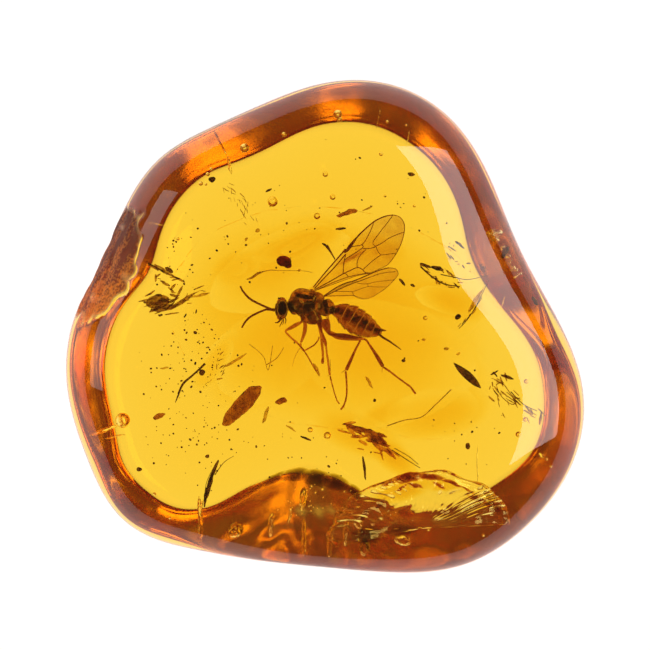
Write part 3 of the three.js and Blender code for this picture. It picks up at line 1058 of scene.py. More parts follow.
def wing_material():
    """Clear, faintly brownish film, smoky in a band across the middle of the wing."""
    material, tree, output = new_material("Wing film")
    smoke = add_node(tree, "ShaderNodeAttribute", {"attribute_name": "smoke"}).outputs["Fac"]
    cloud = add_node(tree, "ShaderNodeMath", {"operation": "MULTIPLY_ADD", "use_clamp": True}, {1: 0.2},
                     {0: grain(tree, 0.6), 2: smoke})
    base = colour_mix(tree, cloud.outputs[0], "#fcfaf2", "#d8b47c")
    surface = add_node(tree, "ShaderNodeBsdfPrincipled", values={
        "Transmission Weight": 1, "IOR": 1.0, "Roughness": 0.0}, links={"Base Color": base})
    tree.links.new(surface.outputs[0], output.inputs["Surface"])
    return material


SMOKE = 0.9
SMOKE_MIDDLE = (1.2, 3.7)
SMOKE_LEAN = (0.88, 0.47)
SMOKE_HALF = 0.1
SMOKY_TIP = 0.25


def films(edges):
    """Several films as one mesh, with a smoky band on each."""
    vertices, faces = joined(film(*edge) for edge in edges)
    mesh = mesh_from(vertices, faces)
    from_smoke = vertices[:, :2] - SMOKE_MIDDLE
    along = from_smoke[:, 0] * SMOKE_LEAN[0] + from_smoke[:, 1] * SMOKE_LEAN[1]
    across = -from_smoke[:, 0] * SMOKE_LEAN[1] + from_smoke[:, 1] * SMOKE_LEAN[0]
    band = np.exp(-(across / SMOKE_HALF) ** 2) * np.clip(1.1 - np.abs(along - 0.4) / 1.1, 0, 1)
    tip = SMOKY_TIP * np.clip((vertices[:, 0] - 0.5) / 4, 0, 1)
    set_attribute(mesh, "smoke", np.clip(SMOKE * band + tip, 0, 1))
    return mesh


film_material = wing_material()
for name, lead, trail, share in (("wasp_fore_wing_films", fore_lead, fore_trail, 1),
                                 ("wasp_hind_wing_films", hind_lead, hind_trail, HIND_SHARE)):
    sheets = films([(lead, trail, side * share) for side in BOTH_SIDES])
    make_piece(name, sheets, film_material)

# %% Wing veins
# Each row: the radius at both ends, then the points that the vein passes.
fore_veins = [
    (0.032, 0.045, [(-0.67, 2.18), (-0.03, 2.98), (0.61, 3.72), (1.2, 4.4)]),
    (0.03, 0.035, [(-0.6, 2.1), (-0.03, 2.72), (0.61, 3.4), (1.22, 4.12)]),
    (0.045, 0.025, [(1.8, 5.0), (2.12, 5.34), (2.85, 5.97), (3.48, 6.28), (3.96, 6.37)]),
    (0.02, 0.012,
     [(3.96, 6.37), (4.34, 6.26), (4.6, 5.91), (4.63, 5.4), (4.44, 4.7), (4.15, 4.12), (3.71, 3.54),
      (3.19, 3.25), (2.64, 3.02)]),
    (0.014, 0.014, [(2.64, 3.0), (1.9, 2.86), (1.31, 2.66), (0.35, 2.31), (-0.58, 1.97)]),
    (0.024, 0.024, [(1.22, 4.12), (1.16, 3.83), (1.1, 3.48), (1.07, 2.99)]),
    (0.03, 0.022,
     [(-0.58, 2.04), (0.26, 2.5), (1.07, 2.97), (1.48, 3.16), (1.89, 3.33), (2.2, 3.21), (2.35, 3.05),
      (2.64, 3.02)]),
    (0.02, 0.02, [(1.07, 2.99), (1.25, 2.96), (1.38, 2.79)]),
    (0.024, 0.018, [(-0.55, 1.98), (0.44, 2.44), (1.38, 2.79), (2.27, 2.98), (2.64, 3.02)]),
    (0.024, 0.018,
     [(1.5, 4.53), (1.74, 4.56), (2.15, 4.64), (2.37, 4.9), (2.61, 5.34), (2.76, 5.69), (2.85, 5.95)]),
    (0.024, 0.024, [(2.14, 4.64), (2.22, 4.49), (1.83, 4.21), (1.31, 3.89), (1.21, 3.77)]),
    (0.02, 0.02, [(2.38, 4.36), (2.03, 3.98), (1.89, 3.66), (1.89, 3.33)]),
    (0.02, 0.014,
     [(2.22, 4.42), (2.58, 4.42), (2.94, 4.53), (2.8, 4.76), (3.23, 5.38), (3.63, 5.89), (3.96, 6.34)]),
    (0.018, 0.012, [(2.94, 4.53), (3.34, 4.74), (3.71, 4.99), (4.15, 5.19), (4.6, 5.36)]),
    (0.016, 0.012, [(2.99, 4.51), (3.09, 4.27), (3.28, 4.06), (3.68, 4.09), (4.15, 4.14)]),
    (0.018, 0.018, [(3.28, 4.06), (2.76, 3.69), (2.22, 3.21)]),
]
hind_veins = [
    (0.03, 0.03,
     [(-0.03, 1.68), (0.63, 2.14), (1.19, 2.42), (1.79, 2.6), (2.66, 2.97), (3.22, 3.19), (3.71, 3.32)]),
    (0.026, 0.016,
     [(-0.03, 1.64), (0.7, 2.0), (1.28, 2.27), (1.89, 2.5), (2.7, 2.8), (3.3, 3.0), (4.1, 3.1)]),
    (0.016, 0.01,
     [(3.71, 3.32), (4.09, 3.27), (4.25, 3.08), (4.2, 2.83), (3.67, 2.25), (3.14, 1.86), (2.7, 1.6),
      (2.18, 1.5), (1.69, 1.68)]),
    (0.016, 0.016, [(0.54, 1.94), (1.07, 1.94), (1.62, 1.94)]),
    (0.018, 0.014, [(0.01, 1.66), (0.84, 1.69), (1.69, 1.71)]),
    (0.014, 0.014, [(1.62, 1.94), (1.64, 1.83), (1.69, 1.71)]),
    (0.014, 0.01, [(1.69, 1.71), (1.94, 1.62), (2.27, 1.51)]),
    (0.014, 0.01, [(1.67, 1.94), (2.06, 2.09), (2.51, 2.22), (3.05, 2.21), (3.62, 2.22)]),
    (0.016, 0.01,
     [(1.89, 2.44), (2.18, 2.39), (2.51, 2.4), (2.93, 2.5), (3.38, 2.56), (3.74, 2.6), (4.09, 2.63)]),
    (0.012, 0.012, [(2.51, 2.4), (2.51, 2.22)]),
]
FOLD_RIBS = 26
fold_upper = evenly([(0.01, 1.72), (0.63, 2.12), (1.19, 2.42), (1.79, 2.6)], FOLD_RIBS)
fold_lower = evenly([(0.05, 1.64), (0.75, 1.98), (1.32, 2.25), (1.93, 2.5)], FOLD_RIBS)
fold_ribs = [(0.014, 0.014, [tuple(a), tuple(b)]) for a, b in zip(fold_upper, fold_lower)]


def vein_paths(rows, share):
    """Limb paths for veins that lie in the film of one wing of each pair."""
    paths = []
    for side in BOTH_SIDES:
        for start, end, points in rows:
            depth = [wing_depth(x, y, side * share) for x, y in points]
            radii = np.linspace(start, end, len(points))
            paths.append([(x, y, z, radius) for (x, y), z, radius in zip(points, depth, radii)])
    return paths


# Warm brown rods that look darker than the film but still let light through.
vein_chitin = tissue("Vein chitin", "#8a4016", "#b5662a", 0.2, 0.5, None, 1)
make_piece("wasp_fore_veins", limbs(vein_paths(fore_veins, 1), vein_chitin, sides=6))
make_piece("wasp_hind_veins", limbs(vein_paths(hind_veins + fold_ribs, HIND_SHARE), vein_chitin, sides=6))

# The dark mark on the leading edge is a limb with a swollen middle: across, up and radius.
MARK = (
    (1.1, 4.2, 0.02), (1.25, 4.28, 0.07), (1.42, 4.5, 0.105), (1.6, 4.74, 0.085), (1.85, 5.06, 0.045),
    (2.1, 5.3, 0.02),
)
wing_marks = [[(x, y, wing_depth(x, y, side), radius) for x, y, radius in MARK] for side in BOTH_SIDES]
make_piece("wasp_wing_marks", limbs(wing_marks, feeler_chitin))

# %% [markdown]
# ## Crumbs of bark and dust
# While it was liquid, the resin caught whatever lay or blew about: bark crumbs, a seed, plant
# hairs and dust. All are irregular lumps of different length, width and thickness, so one
# Geometry Nodes tree makes them all: it puts a ball on each point, sized and turned by what
# the point carries, and then pushes the real meshes about with noise, so no two are alike.

# %% Crumb tree
def make_crumb_tree():
    """Balls on points, sized and turned by what each point carries and then torn by noise."""
    tree, given = new_tree("Crumbs on points", {
        "Fineness": 3, "Torn": 0.1, "Tear size": 0.4, "Thin edge": 0.0, "Seed": 0.0, "Material": None})
    ball = add_node(tree, "GeometryNodeMeshIcoSphere", values={"Radius": 1},
                    links={"Subdivisions": given["Fineness"]})
    place = add_node(tree, "GeometryNodeInputPosition")
    split = add_node(tree, "ShaderNodeSeparateXYZ", links={0: place.outputs[0]})
    above = add_node(tree, "ShaderNodeMath", {"operation": "ABSOLUTE"}, links={0: split.outputs[2]})
    thinned = add_node(tree, "ShaderNodeMath", {"operation": "POWER"},
                       links={0: above.outputs[0], 1: given["Thin edge"]})
    height = add_node(tree, "ShaderNodeMath", {"operation": "MULTIPLY"},
                      links={0: split.outputs[2], 1: thinned.outputs[0]})
    place = add_node(tree, "ShaderNodeCombineXYZ",
                     links={0: split.outputs[0], 1: split.outputs[1], 2: height.outputs[0]})
    ball = add_node(tree, "GeometryNodeSetPosition",
                    links={"Geometry": ball.outputs[0], "Position": place.outputs[0]})
    size, turn = (add_node(tree, "GeometryNodeInputNamedAttribute",
                           {"data_type": "FLOAT_VECTOR"}, {"Name": name})
                  for name in ("size", "turn"))
    placed = add_node(tree, "GeometryNodeInstanceOnPoints", links={
        "Points": given["Geometry"], "Instance": ball.outputs[0],
        "Rotation": turn.outputs[0], "Scale": size.outputs[0]})
    real = add_node(tree, "GeometryNodeRealizeInstances", links={0: placed.outputs[0]})
    per_mm = add_node(tree, "ShaderNodeMath", {"operation": "DIVIDE"}, {0: 1}, {1: given["Tear size"]})
    noise = add_node(tree, "ShaderNodeTexNoise", {"noise_dimensions": "4D"}, {"Detail": 3},
                     {"Scale": per_mm.outputs[0], "W": given["Seed"]})
    centred = add_node(tree, "ShaderNodeVectorMath", {"operation": "SUBTRACT"}, {1: (0.5, 0.5, 0.5)},
                       {0: noise.outputs["Color"]})
    push = add_node(tree, "ShaderNodeVectorMath", {"operation": "SCALE"},
                    links={0: centred.outputs[0], "Scale": given["Torn"]})
    torn = add_node(tree, "GeometryNodeSetPosition",
                    links={"Geometry": real.outputs[0], "Offset": push.outputs[0]})
    end_tree(tree, torn.outputs[0], given["Material"])
    return tree


crumb_tree = make_crumb_tree()


def crumbs(rows, material, fineness=3, torn=0.3, tear_size=0.5, seed=0.0, thin_edge=0.0):
    """Crumbs from rows of place, half length, half width, half thickness, turn and any tilt."""
    rows = [(*row, 0)[:8] for row in rows]
    mesh = mesh_from([row[:3] for row in rows], [])
    set_attribute(mesh, "size", [row[3:6] for row in rows])
    set_attribute(mesh, "turn", [(0, math.radians(row[7]), math.radians(row[6])) for row in rows])
    return grow(crumb_tree, mesh, Fineness=fineness, Torn=float(torn), Seed=float(seed), Material=material,
                **{"Tear size": float(tear_size), "Thin edge": float(thin_edge)})


BARK_PITS = (0.06, 0.02)  # how far apart and how deep
bark, dark_bark, pale_bark, olive_scrap = (tissue(*look, *BARK_PITS) for look in (
    # Thin edges glow red-brown.
    ("Bark crumb", "#9a5618", "#e0a048", 0.3, 0.75, (0.6, 0.4, 0.1), 0.3, 0.5),
    # Nearly black, with a brown edge.
    ("Dark bark crumb", "#3a2608", "#9c7428", 0.25, 0.65, (0.64, 0.46, 0.13), 0.3, 0.6),
    # Soft inner bark that lets most of the light through.
    ("Pale torn bark", "#b0702a", "#f0c478", 0.3, 0.92, (0.72, 0.5, 0.14), 0.4, 0.45),
    # Green-brown slivers that are darker where they cross.
    ("Olive plant scrap", "#7c5c1c", "#d4b058", 0.25, 0.9, (0.66, 0.5, 0.14), 0.4, 0.5),
))
# A deep red drop of older resin, and skins that hardly stand out from the amber.
red_lump = tissue("Dark resin drop", "#6a1c0a", "#a83c1a", 0.3, 0.7, (0.45, 0.15, 0.06), 0.4, 0.3)
ghost = tissue("Pale plant skin", "#b09038", "#e4c468", 0.25, 0.92, None, 1, 0.4)

# %% Flakes, seed and lumps
# Each row: seen across and up, height in the stone, half length, half width, half thickness,
# turn and any tilt in degrees.
flake_rows = [
    (-4.86, -4.64, 5.2, 1.62, 0.46, 0.12, 46, 4), (-2.55, -4.41, 4.0, 0.36, 0.2, 0.1, 8),
    (1.27, 6.5, 6.2, 0.62, 0.15, 0.08, 14, 10), (2.35, -6.15, 6.0, 1.3, 0.15, 0.1, -16, 5),
    (3.1, -6.6, 5.6, 0.55, 0.16, 0.08, -30, 5), (-9.6, -5.28, 6.4, 0.42, 0.14, 0.07, 28),
    (9.2, 3.3, 6.6, 0.3, 0.14, 0.08, -40),
]
make_piece("bark_flakes", crumbs(flake_rows, bark, 4, 0.42, 0.45, 1))
dark_rows = [
    (0.9, 5.57, 6.0, 0.33, 0.07, 0.06, 4), (-3.3, 7.78, 6.8, 0.2, 0.06, 0.05, 28),
    (-7.13, -2.76, 6.6, 0.17, 0.19, 0.15, 20), (4.55, -2.1, 5, 0.1, 0.09, 0.09, 0),
    (-10.78, -8.38, 6.6, 0.15, 0.13, 0.12, 0), (2.9, -4.35, 6.0, 0.09, 0.09, 0.08, 0),
    (5.82, 3.46, 6.4, 0.34, 0.09, 0.06, -20), (6.5, 3.3, 6.2, 0.4, 0.12, 0.06, -15),
    (4.5, 2.5, 6.0, 0.26, 0.09, 0.06, -52), (5.1, 2.3, 5.6, 0.13, 0.08, 0.05, -30),
    (7.8, 4.66, 7.0, 0.34, 0.07, 0.06, -36), (7.4, 4.4, 6.8, 0.26, 0.04, 0.04, -32),
    (7.15, 4.0, 6.8, 0.24, 0.04, 0.04, -48), (7.35, 3.9, 6.8, 0.2, 0.035, 0.03, -50),
    (8.0, 3.4, 6.8, 0.14, 0.05, 0.05, -60), (7.7, 0.5, 5.8, 0.2, 0.14, 0.1, 50),
    (9.85, -2.8, 6.8, 0.26, 0.06, 0.06, 30), (9.9, -2.9, 6.8, 0.22, 0.05, 0.05, -50),
    (10.6, -3.05, 6.8, 0.42, 0.09, 0.06, -18), (2.28, -8.3, 6.6, 0.72, 0.07, 0.07, -84),
    (-1.1, -6.57, 6.4, 0.34, 0.06, 0.05, -22), (10.46, 4.2, 6.6, 0.4, 0.16, 0.1, 60),
    (5.0, 8.75, 6.8, 0.22, 0.11, 0.1, -15), (-6.56, 8.43, 7, 0.2, 0.17, 0.15, 0),
    (-8.1, 0.56, 6.6, 0.15, 0.05, 0.05, 65), (-7.45, 0.8, 6.6, 0.12, 0.05, 0.05, 75),
    (-7.5, -0.45, 6.0, 0.11, 0.11, 0.1, 0), (-6.5, -8.55, 6.6, 0.8, 0.1, 0.08, 66),
    (-6.72, -9.3, 6.5, 0.85, 0.14, 0.1, 76), (-6.95, -10.0, 6.4, 0.6, 0.08, 0.07, 84),
    (-6.85, -7.62, 6.6, 0.12, 0.12, 0.1, 0), (8.3, -7.0, 6.4, 0.15, 0.2, 0.1, 0),
    (-9.02, 3.2, 6.8, 0.28, 0.13, 0.1, -30), (12.2, 1.4, 6.6, 0.3, 0.12, 0.1, -60),
]
make_piece("dark_crumbs", crumbs(dark_rows, dark_bark, 3, 0.16, 0.25, 2))
red_rows = [(-2.42, 3.74, 4.6, 0.45, 0.33, 0.26, -6), (-2.24, 3.58, 4.6, 0.32, 0.22, 0.2, -38)]
make_piece("dark_resin_drop", crumbs(red_rows, red_lump, 4, 0.12, 0.5, 3))
ghost_rows = [
    (-5.2, -2.05, 6.0, 0.75, 0.07, 0.05, 32), (-3.45, -5.2, 6.4, 0.5, 0.1, 0.05, 70),
    (-7.2, 1.75, 6.4, 0.6, 0.07, 0.05, 14), (2.5, 6.78, 6.4, 0.35, 0.06, 0.05, 25),
    (-1.95, -6.0, 6.0, 0.35, 0.05, 0.05, -30), (8.7, 1.4, 6.0, 0.7, 0.12, 0.06, 58),
    (-3.95, 5.5, 6.0, 0.16, 0.09, 0.06, 20), (-4.6, 5.0, 6.0, 0.12, 0.09, 0.06, 60),
    (-1.5, 3.2, 6.0, 0.1, 0.07, 0.05, 0), (-9.3, -2.5, 6.0, 0.25, 0.05, 0.04, 0),
    (5.7, -0.9, 5.0, 0.1, 0.07, 0.05, 0), (7.0, -1.4, 5.0, 0.16, 0.09, 0.05, 0),
    (7.7, -1.7, 5.0, 0.12, 0.07, 0.05, 40), (-0.5, -2.6, 3.6, 0.4, 0.12, 0.1, -60),
    (2.6, -3.3, 3.6, 0.4, 0.08, 0.08, -62),
]
make_piece("pale_plant_skins", crumbs(ghost_rows, ghost, 3, 0.25, 0.4, 4))

# The seed is a smooth pointed lens, so it is a limb with a swollen middle.
seed_paths = [
    [(7.42, -2.22, 0.8, 0.02), (7.8, -2.58, 0.8, 0.17), (8.3, -3.0, 0.8, 0.24), (8.75, -3.42, 0.8, 0.17),
     (9.05, -3.7, 0.8, 0.02)],
]
make_piece("seed", limbs(seed_paths, dark_bark))

# %% Feathery plant scraps
SLIVER_THICKNESS = 0.03
SLIVER_TURN = 22
SLIVER_TILT = 10


def scrap(points, count, length, width, lean, spread, height, seed):
    """Slivers strewn along a path, most of them lying along a given direction."""
    chance = np.random.default_rng(seed)
    along = evenly(points, count)
    rows = []
    for place in along:
        x, y = place + chance.normal(size=2) * spread
        size = chance.uniform(0.4, 1.3)
        turn = lean + chance.normal() * SLIVER_TURN
        tilt = chance.normal() * SLIVER_TILT
        z = height + chance.normal() * 0.15
        half_width = width * size * chance.uniform(0.5, 1.5)
        rows.append((x, y, z, length * size, half_width, SLIVER_THICKNESS, turn, tilt))
    return rows


scraps = [
    *scrap([(-10.2, 0.95), (-9.3, 0.75), (-8.3, 1.3), (-7.2, 2.1)], 18, 0.4, 0.05, 28, 0.14, 6.2, 11),
    *scrap([(-10.3, 1.5), (-9.4, 1.35), (-8.7, 1.6)], 9, 0.4, 0.06, 12, 0.24, 6.0, 12),
    (-9.7, 1.35, 5.8, 0.75, 0.42, 0.1, 10, 10),
    (-9.3, 1.0, 5.9, 0.7, 0.2, 0.1, 8),
    (-8.3, 1.35, 6.0, 0.8, 0.13, 0.06, 32),
    *scrap([(-10.1, 3.55), (-9.3, 3.1), (-8.4, 2.65)], 12, 0.3, 0.045, -28, 0.06, 6.4, 13),
    *scrap([(-9.9, 2.85), (-9.2, 2.4), (-8.8, 1.9)], 9, 0.22, 0.05, -24, 0.12, 6.4, 14),
    *scrap([(-5.6, 8.0), (-5.0, 7.2), (-4.4, 6.1)], 26, 0.2, 0.018, -60, 0.2, 7.0, 15),
    *scrap([(9.9, -3.3), (10.5, -4.0), (11.4, -4.7), (12.2, -5.3)], 18, 0.3, 0.04, -42, 0.22, 6.8, 16),
    *scrap([(9.6, -3.5), (10.2, -4.5)], 8, 0.2, 0.04, -55, 0.12, 6.8, 17),
    *scrap([(5.6, 3.5), (6.3, 2.8), (7.2, 2.3), (7.8, 2.35)], 18, 0.2, 0.05, -30, 0.07, 6.2, 18),
    *scrap([(6.6, 3.2), (7.3, 3.0), (7.8, 2.5)], 10, 0.2, 0.035, -28, 0.05, 6.2, 19),
    *scrap([(9.3, 2.4), (8.8, 1.3), (7.8, 0.0)], 12, 0.3, 0.03, 58, 0.07, 6.2, 20),
    *scrap([(-10.1, 1.6), (-9.4, 1.5), (-8.6, 1.9)], 7, 0.26, 0.1, 10, 0.25, 6.0, 22),
    *scrap([(9.8, -3.4), (10.8, -4.2), (12.3, -5.2)], 14, 0.34, 0.05, -40, 0.34, 6.6, 23),
    *scrap([(-6.2, -1.7), (-5.9, -2.6), (-6.6, -3.2)], 14, 0.16, 0.03, 50, 0.15, 6.4, 24),
    *scrap([(7.4, 4.6), (7.2, 3.8), (8.2, 3.2)], 9, 0.12, 0.03, -40, 0.16, 6.4, 25),
]
torn_flake = scrap([(1.3, -6.1), (2.4, -6.6), (3.8, -7.4)], 26, 0.42, 0.09, -28, 0.26, 6.0, 21)
make_piece("torn_flake", crumbs(torn_flake, pale_bark, 2, 0.12, 0.2, 11))
make_piece("feathery_scraps", crumbs(scraps, olive_scrap, 2, 0.12, 0.2, 5))

# %% Threads, twigs and plant hairs
# Parts as for the legs: points, depth and radii.
dark_threads = [
    ([(-8.5, -4.0), (-8.2, -3.4), (-7.75, -3.0), (-7.3, -2.6), (-6.95, -2.25)], 1.2,
     (0.05, 0.07, 0.05, 0.07)),
    ([(-8.66, -4.5), (-8.5, -4.1), (-8.3, -3.6)], 1.2, (0.02, 0.05, 0.03)),
    ([(0.08, 4.62), (0.3, 4.3), (0.6, 3.8)], 0.4, (0.1, 0.05, 0.03)),
    ([(-0.18, 4.75), (0.0, 4.65), (0.15, 4.5)], 0.4, (0.03, 0.07, 0.03)),
    ([(3.85, -7.25), (4.7, -7.8), (5.5, -8.3)], 1, (0.03, 0.02)),
    ([(4.0, -7.15), (4.8, -7.6), (5.4, -8.1)], 1, (0.02, 0.02)),
    ([(5.55, 3.4), (6.15, 2.85), (6.9, 2.4), (7.8, 2.25)], 0.8, (0.05, 0.04, 0.03)),
    ([(6.7, 2.95), (7.4, 2.8), (8.3, 2.65), (9.4, 2.9)], 0.8, (0.03, 0.015)),
    ([(9.5, 2.6), (8.85, 1.3), (8.3, 0.4), (7.75, -0.2)], 0.8, (0.02, 0.025, 0.02)),
    ([(9.1, 1.6), (8.5, 0.7), (7.95, 0.1)], 0.8, (0.02, 0.02)),
    ([(12.3, -5.0), (11.5, -4.6), (10.8, -3.9)], 1.2, (0.02, 0.03)),
    ([(-6.2, -7.9), (-6.5, -8.3), (-6.9, -9.2), (-7.0, -10.2)], 1.2, (0.015, 0.02)),
    ([(-5.3, -7.6), (-5.9, -8.0), (-6.4, -8.7)], 1.2, (0.012, 0.03)),
    ([(-10.3, 3.6), (-9.4, 3.15), (-8.45, 2.65)], 1, (0.04, 0.04, 0.01)),
]
pale_threads = [
    ([(-4.6, 2.65), (-4.3, 2.75), (-3.95, 3.0), (-3.65, 3.1)], 0.2, (0.03, 0.07, 0.08, 0.03)),
    ([(-3.7, 3.1), (-3.2, 3.2), (-2.6, 3.18), (-1.3, 3.16), (-0.7, 3.05)], 0.2, (0.03, 0.012, 0.012)),
    ([(-4.4, -1.1), (-3.6, -1.8), (-3.3, -2.6), (-3.05, -1.2)], 0.8, (0.015, 0.02)),
    ([(-3.4, -2.3), (-2.8, -1.9), (-2.4, -1.3)], 0.8, (0.03, 0.015)),
    ([(3.6, -5.85), (4.6, -5.5), (5.6, -5.3), (6.4, -4.6), (7.3, -3.75)], 0.2, (0.03, 0.025, 0.03)),
    ([(9.95, -3.5), (10.3, -3.4), (10.7, -3.9), (11.1, -4.5), (10.8, -4.6), (10.2, -4.1), (9.95, -3.5)],
     1.2, (0.03, 0.02)),
    ([(0.3, -2.0), (0.32, -2.6), (0.28, -3.2)], -1.6, (0.015, 0.01)),
]
make_piece("dark_threads", limbs(limb_paths(dark_threads), dark_bark, sides=6))
make_piece("pale_threads", limbs(limb_paths(pale_threads), olive_scrap, sides=6))

# %% [markdown]
# ### Dust
# A few hundred specks of dust hang in the resin, most of them towards one corner. They are
# strewn with a fixed seed in round clouds, and each is a low ball of only 20 faces before it
# is torn, because hardly any of them is over a tenth of a millimetre across.

# %% Dust
# Each cloud: centre across and up, its spread, how many specks.
DUST_CLOUDS = (
    (-7.5, -2.0, 2.2, 110), (-8.5, 3.5, 1.8, 45), (-7.5, -6.5, 2.1, 80), (-2.5, -8.3, 2.0, 22),
    (1, 7.5, 3.2, 26), (6.0, 7.0, 1.6, 12), (8.5, -6.0, 2.0, 18), (0.0, -4.5, 4.5, 26),
    (-4.0, 6.0, 2.2, 24),
)
DUST_LARGEST = 0.075
DUST_HEIGHTS = (3, 7.5)
DUST_CLEAR = 0.75  # of the sloping side's width is kept clear
chance = np.random.default_rng(42)
dust_rows = []
for across, up, spread, count in DUST_CLOUDS:
    for x, y in chance.normal(size=(count, 2)) * spread * 0.7 + (across, up):
        radius, side_width, _ = section_at(np.arctan2(y, x))
        if np.hypot(x, y) < radius - DUST_CLEAR * side_width:
            size = DUST_LARGEST * (0.35 + 0.65 * chance.random() ** 2)
            height = chance.uniform(*DUST_HEIGHTS)
            length = size * chance.uniform(0.8, 1.6)
            dust_rows.append((x, y, height, length, size, size, chance.uniform(0, 180)))
make_piece("dust", crumbs(dust_rows, dark_bark, 1, 0.04, 0.1, 6))

# %% [markdown]
# ### Older flows of resin
# Resin runs down a trunk in many flows, and each skin that dried before the next one came is a
# shade darker. Where flows overlap, in the middle of the stone and low in it, they colour the
# honey yellow more orange. The olive-brown seam over the lower edge is painted shade: dark lumps
# laid where the hump only turns back light from a dark place. Red-brown seams lie under the
# shell-shaped crack. All are smooth wavy lumps that bend no light and only absorb, so one
# function makes the three materials.

# %% Resin flows
def resin_and_painted_shade(name, left_after, path_mm):
    """A lump that bends no light in amber and only takes its share of each colour: older resin, and the
    painted shade.
    """
    material, tree, output = new_material(name)
    surface = add_node(tree, "ShaderNodeBsdfPrincipled", values={
        "Base Color": (1, 1, 1, 1), "Transmission Weight": 1, "IOR": 1.0, "Roughness": 0.0})
    tree.links.new(surface.outputs[0], output.inputs["Surface"])
    absorb(tree, output, left_after, path_mm)
    return material


# Deeper orange where flows overlap, an olive-brown painted shade, and red-brown streaks.
orange_flow = resin_and_painted_shade("Older resin", (0.965, 0.865, 0.38), 1)
painted_shade_flow = resin_and_painted_shade("Painted olive shade", (0.56, 0.47, 0.1), 0.35)
red_flow = resin_and_painted_shade("Red old resin", (0.5, 0.2, 0.04), 0.35)
flow_rows = [
    (0.4, 0.4, 3.2, 9.5, 6.4, 1.3, -8), (-2.6, 3.6, 3.6, 4.6, 2.2, 0.9, 30),
    (4.4, -2.6, 3.0, 6.0, 3.6, 0.9, -24), (7.3, 1.4, 4.0, 2.4, 1.2, 1.1, -20),
    (6.4, -5.2, 3.4, 3.4, 1.5, 1.0, 10), (-3.3, -1.8, 3.0, 4.4, 2.6, 0.8, 40),
    (2.0, -6.4, 4.0, 3.0, 1.3, 0.9, -20), (-1.4, 4.8, 4.4, 3.0, 0.8, 0.9, 18),
    (-6.4, -2.2, 3.4, 2.2, 0.7, 0.7, 55), (4.0, -7.7, 6.2, 1.7, 0.9, 1.3, -34),
    (4.4, -8.0, 5.6, 1.2, 0.5, 1.0, -30), (4.6, -9.5, 6.4, 2.0, 0.8, 1.5, 14),
    (6.6, -9.3, 6.4, 1.9, 0.5, 1.1, -8), (2.6, -10.9, 5.4, 1.8, 0.7, 0.8, 42),
    (9.6, -10.3, 6.2, 1.3, 0.6, 1.0, -24), (-5.2, 3.4, 4.2, 1.6, 1.0, 0.7, 30),
    (3.2, -5.2, 4.0, 2.0, 0.7, 0.7, 30), (2.8, 4.4, 4.6, 2.2, 1.0, 0.7, -10),
]
make_piece("resin_flows", crumbs(flow_rows, orange_flow, 5, 0.6, 2.4, 9, 2))
# Painted shade: olive-brown lumps laid in the crescent over the lower edge, where the hump only reflects a
# dark place.
painted_shade_rows = [
    (-4.0, -9.45, 6.9, 0.8, 0.14, 0.25, 30), (-2.9, -8.95, 7.0, 0.9, 0.26, 0.4, 28),
    (-1.7, -8.72, 7.1, 0.9, 0.42, 0.5, 14), (-0.5, -8.88, 7.1, 0.9, 0.56, 0.6, -4),
    (0.6, -9.15, 7.1, 0.9, 0.52, 0.55, -20), (1.6, -9.6, 7.0, 0.7, 0.34, 0.4, -38),
    (2.4, -12.2, 6.3, 1.1, 0.6, 0.5, 10), (4.4, -11.9, 6.3, 1.0, 0.35, 0.4, 6),
]
make_piece("painted_shade_seams", crumbs(painted_shade_rows, painted_shade_flow, 4, 0.35, 0.8, 10, 1))
red_flow_rows = [
    (3.9, -9.1, 7.3, 0.8, 0.15, 0.35, 24), (4.8, -8.85, 7.4, 0.9, 0.34, 0.55, 10),
    (6.0, -8.8, 7.4, 1.1, 0.22, 0.45, -6), (7.3, -9.15, 7.3, 0.8, 0.12, 0.35, -20),
    (5.2, -9.35, 7.2, 0.6, 0.14, 0.35, -16), (8.2, -9.5, 7.1, 0.6, 0.1, 0.3, -28),
    (6.6, -9.35, 7.2, 0.5, 0.12, 0.3, -30), (4.4, -9.5, 7.2, 0.4, 0.12, 0.3, 40),
    (8.9, -10.1, 6.9, 0.7, 0.16, 0.3, -20), (9.8, -10.6, 6.8, 0.6, 0.2, 0.3, -30),
    (3.2, -10.4, 7.0, 0.5, 0.1, 0.3, 52), (2.2, -11.2, 6.9, 0.6, 0.1, 0.3, 58),
]
make_piece("red_resin_seams", crumbs(red_flow_rows, red_flow, 4, 0.4, 0.6, 14, 1))

# %% [markdown]
# ## Trapped air
# Bubbles and cracks are places with no resin: light passes from amber into air and back. So
# they are glass turned inside out, with an index of 1 over that of amber, and smooth. A ball
# of air has a dark ring and a bright middle, and a thin tilted gap of air flashes gold where
# it turns light back and is clear where it lets light through.

# %% Air and bubbles
# A dark ring with a bright middle on a bubble, and gold flashes on a crack.
air_material, tree, output = new_material("Trapped air")
surface = add_node(tree, "ShaderNodeBsdfGlass", values={"IOR": 1 / AMBER_IOR, "Roughness": 0.0})
tree.links.new(surface.outputs[0], output.inputs["Surface"])

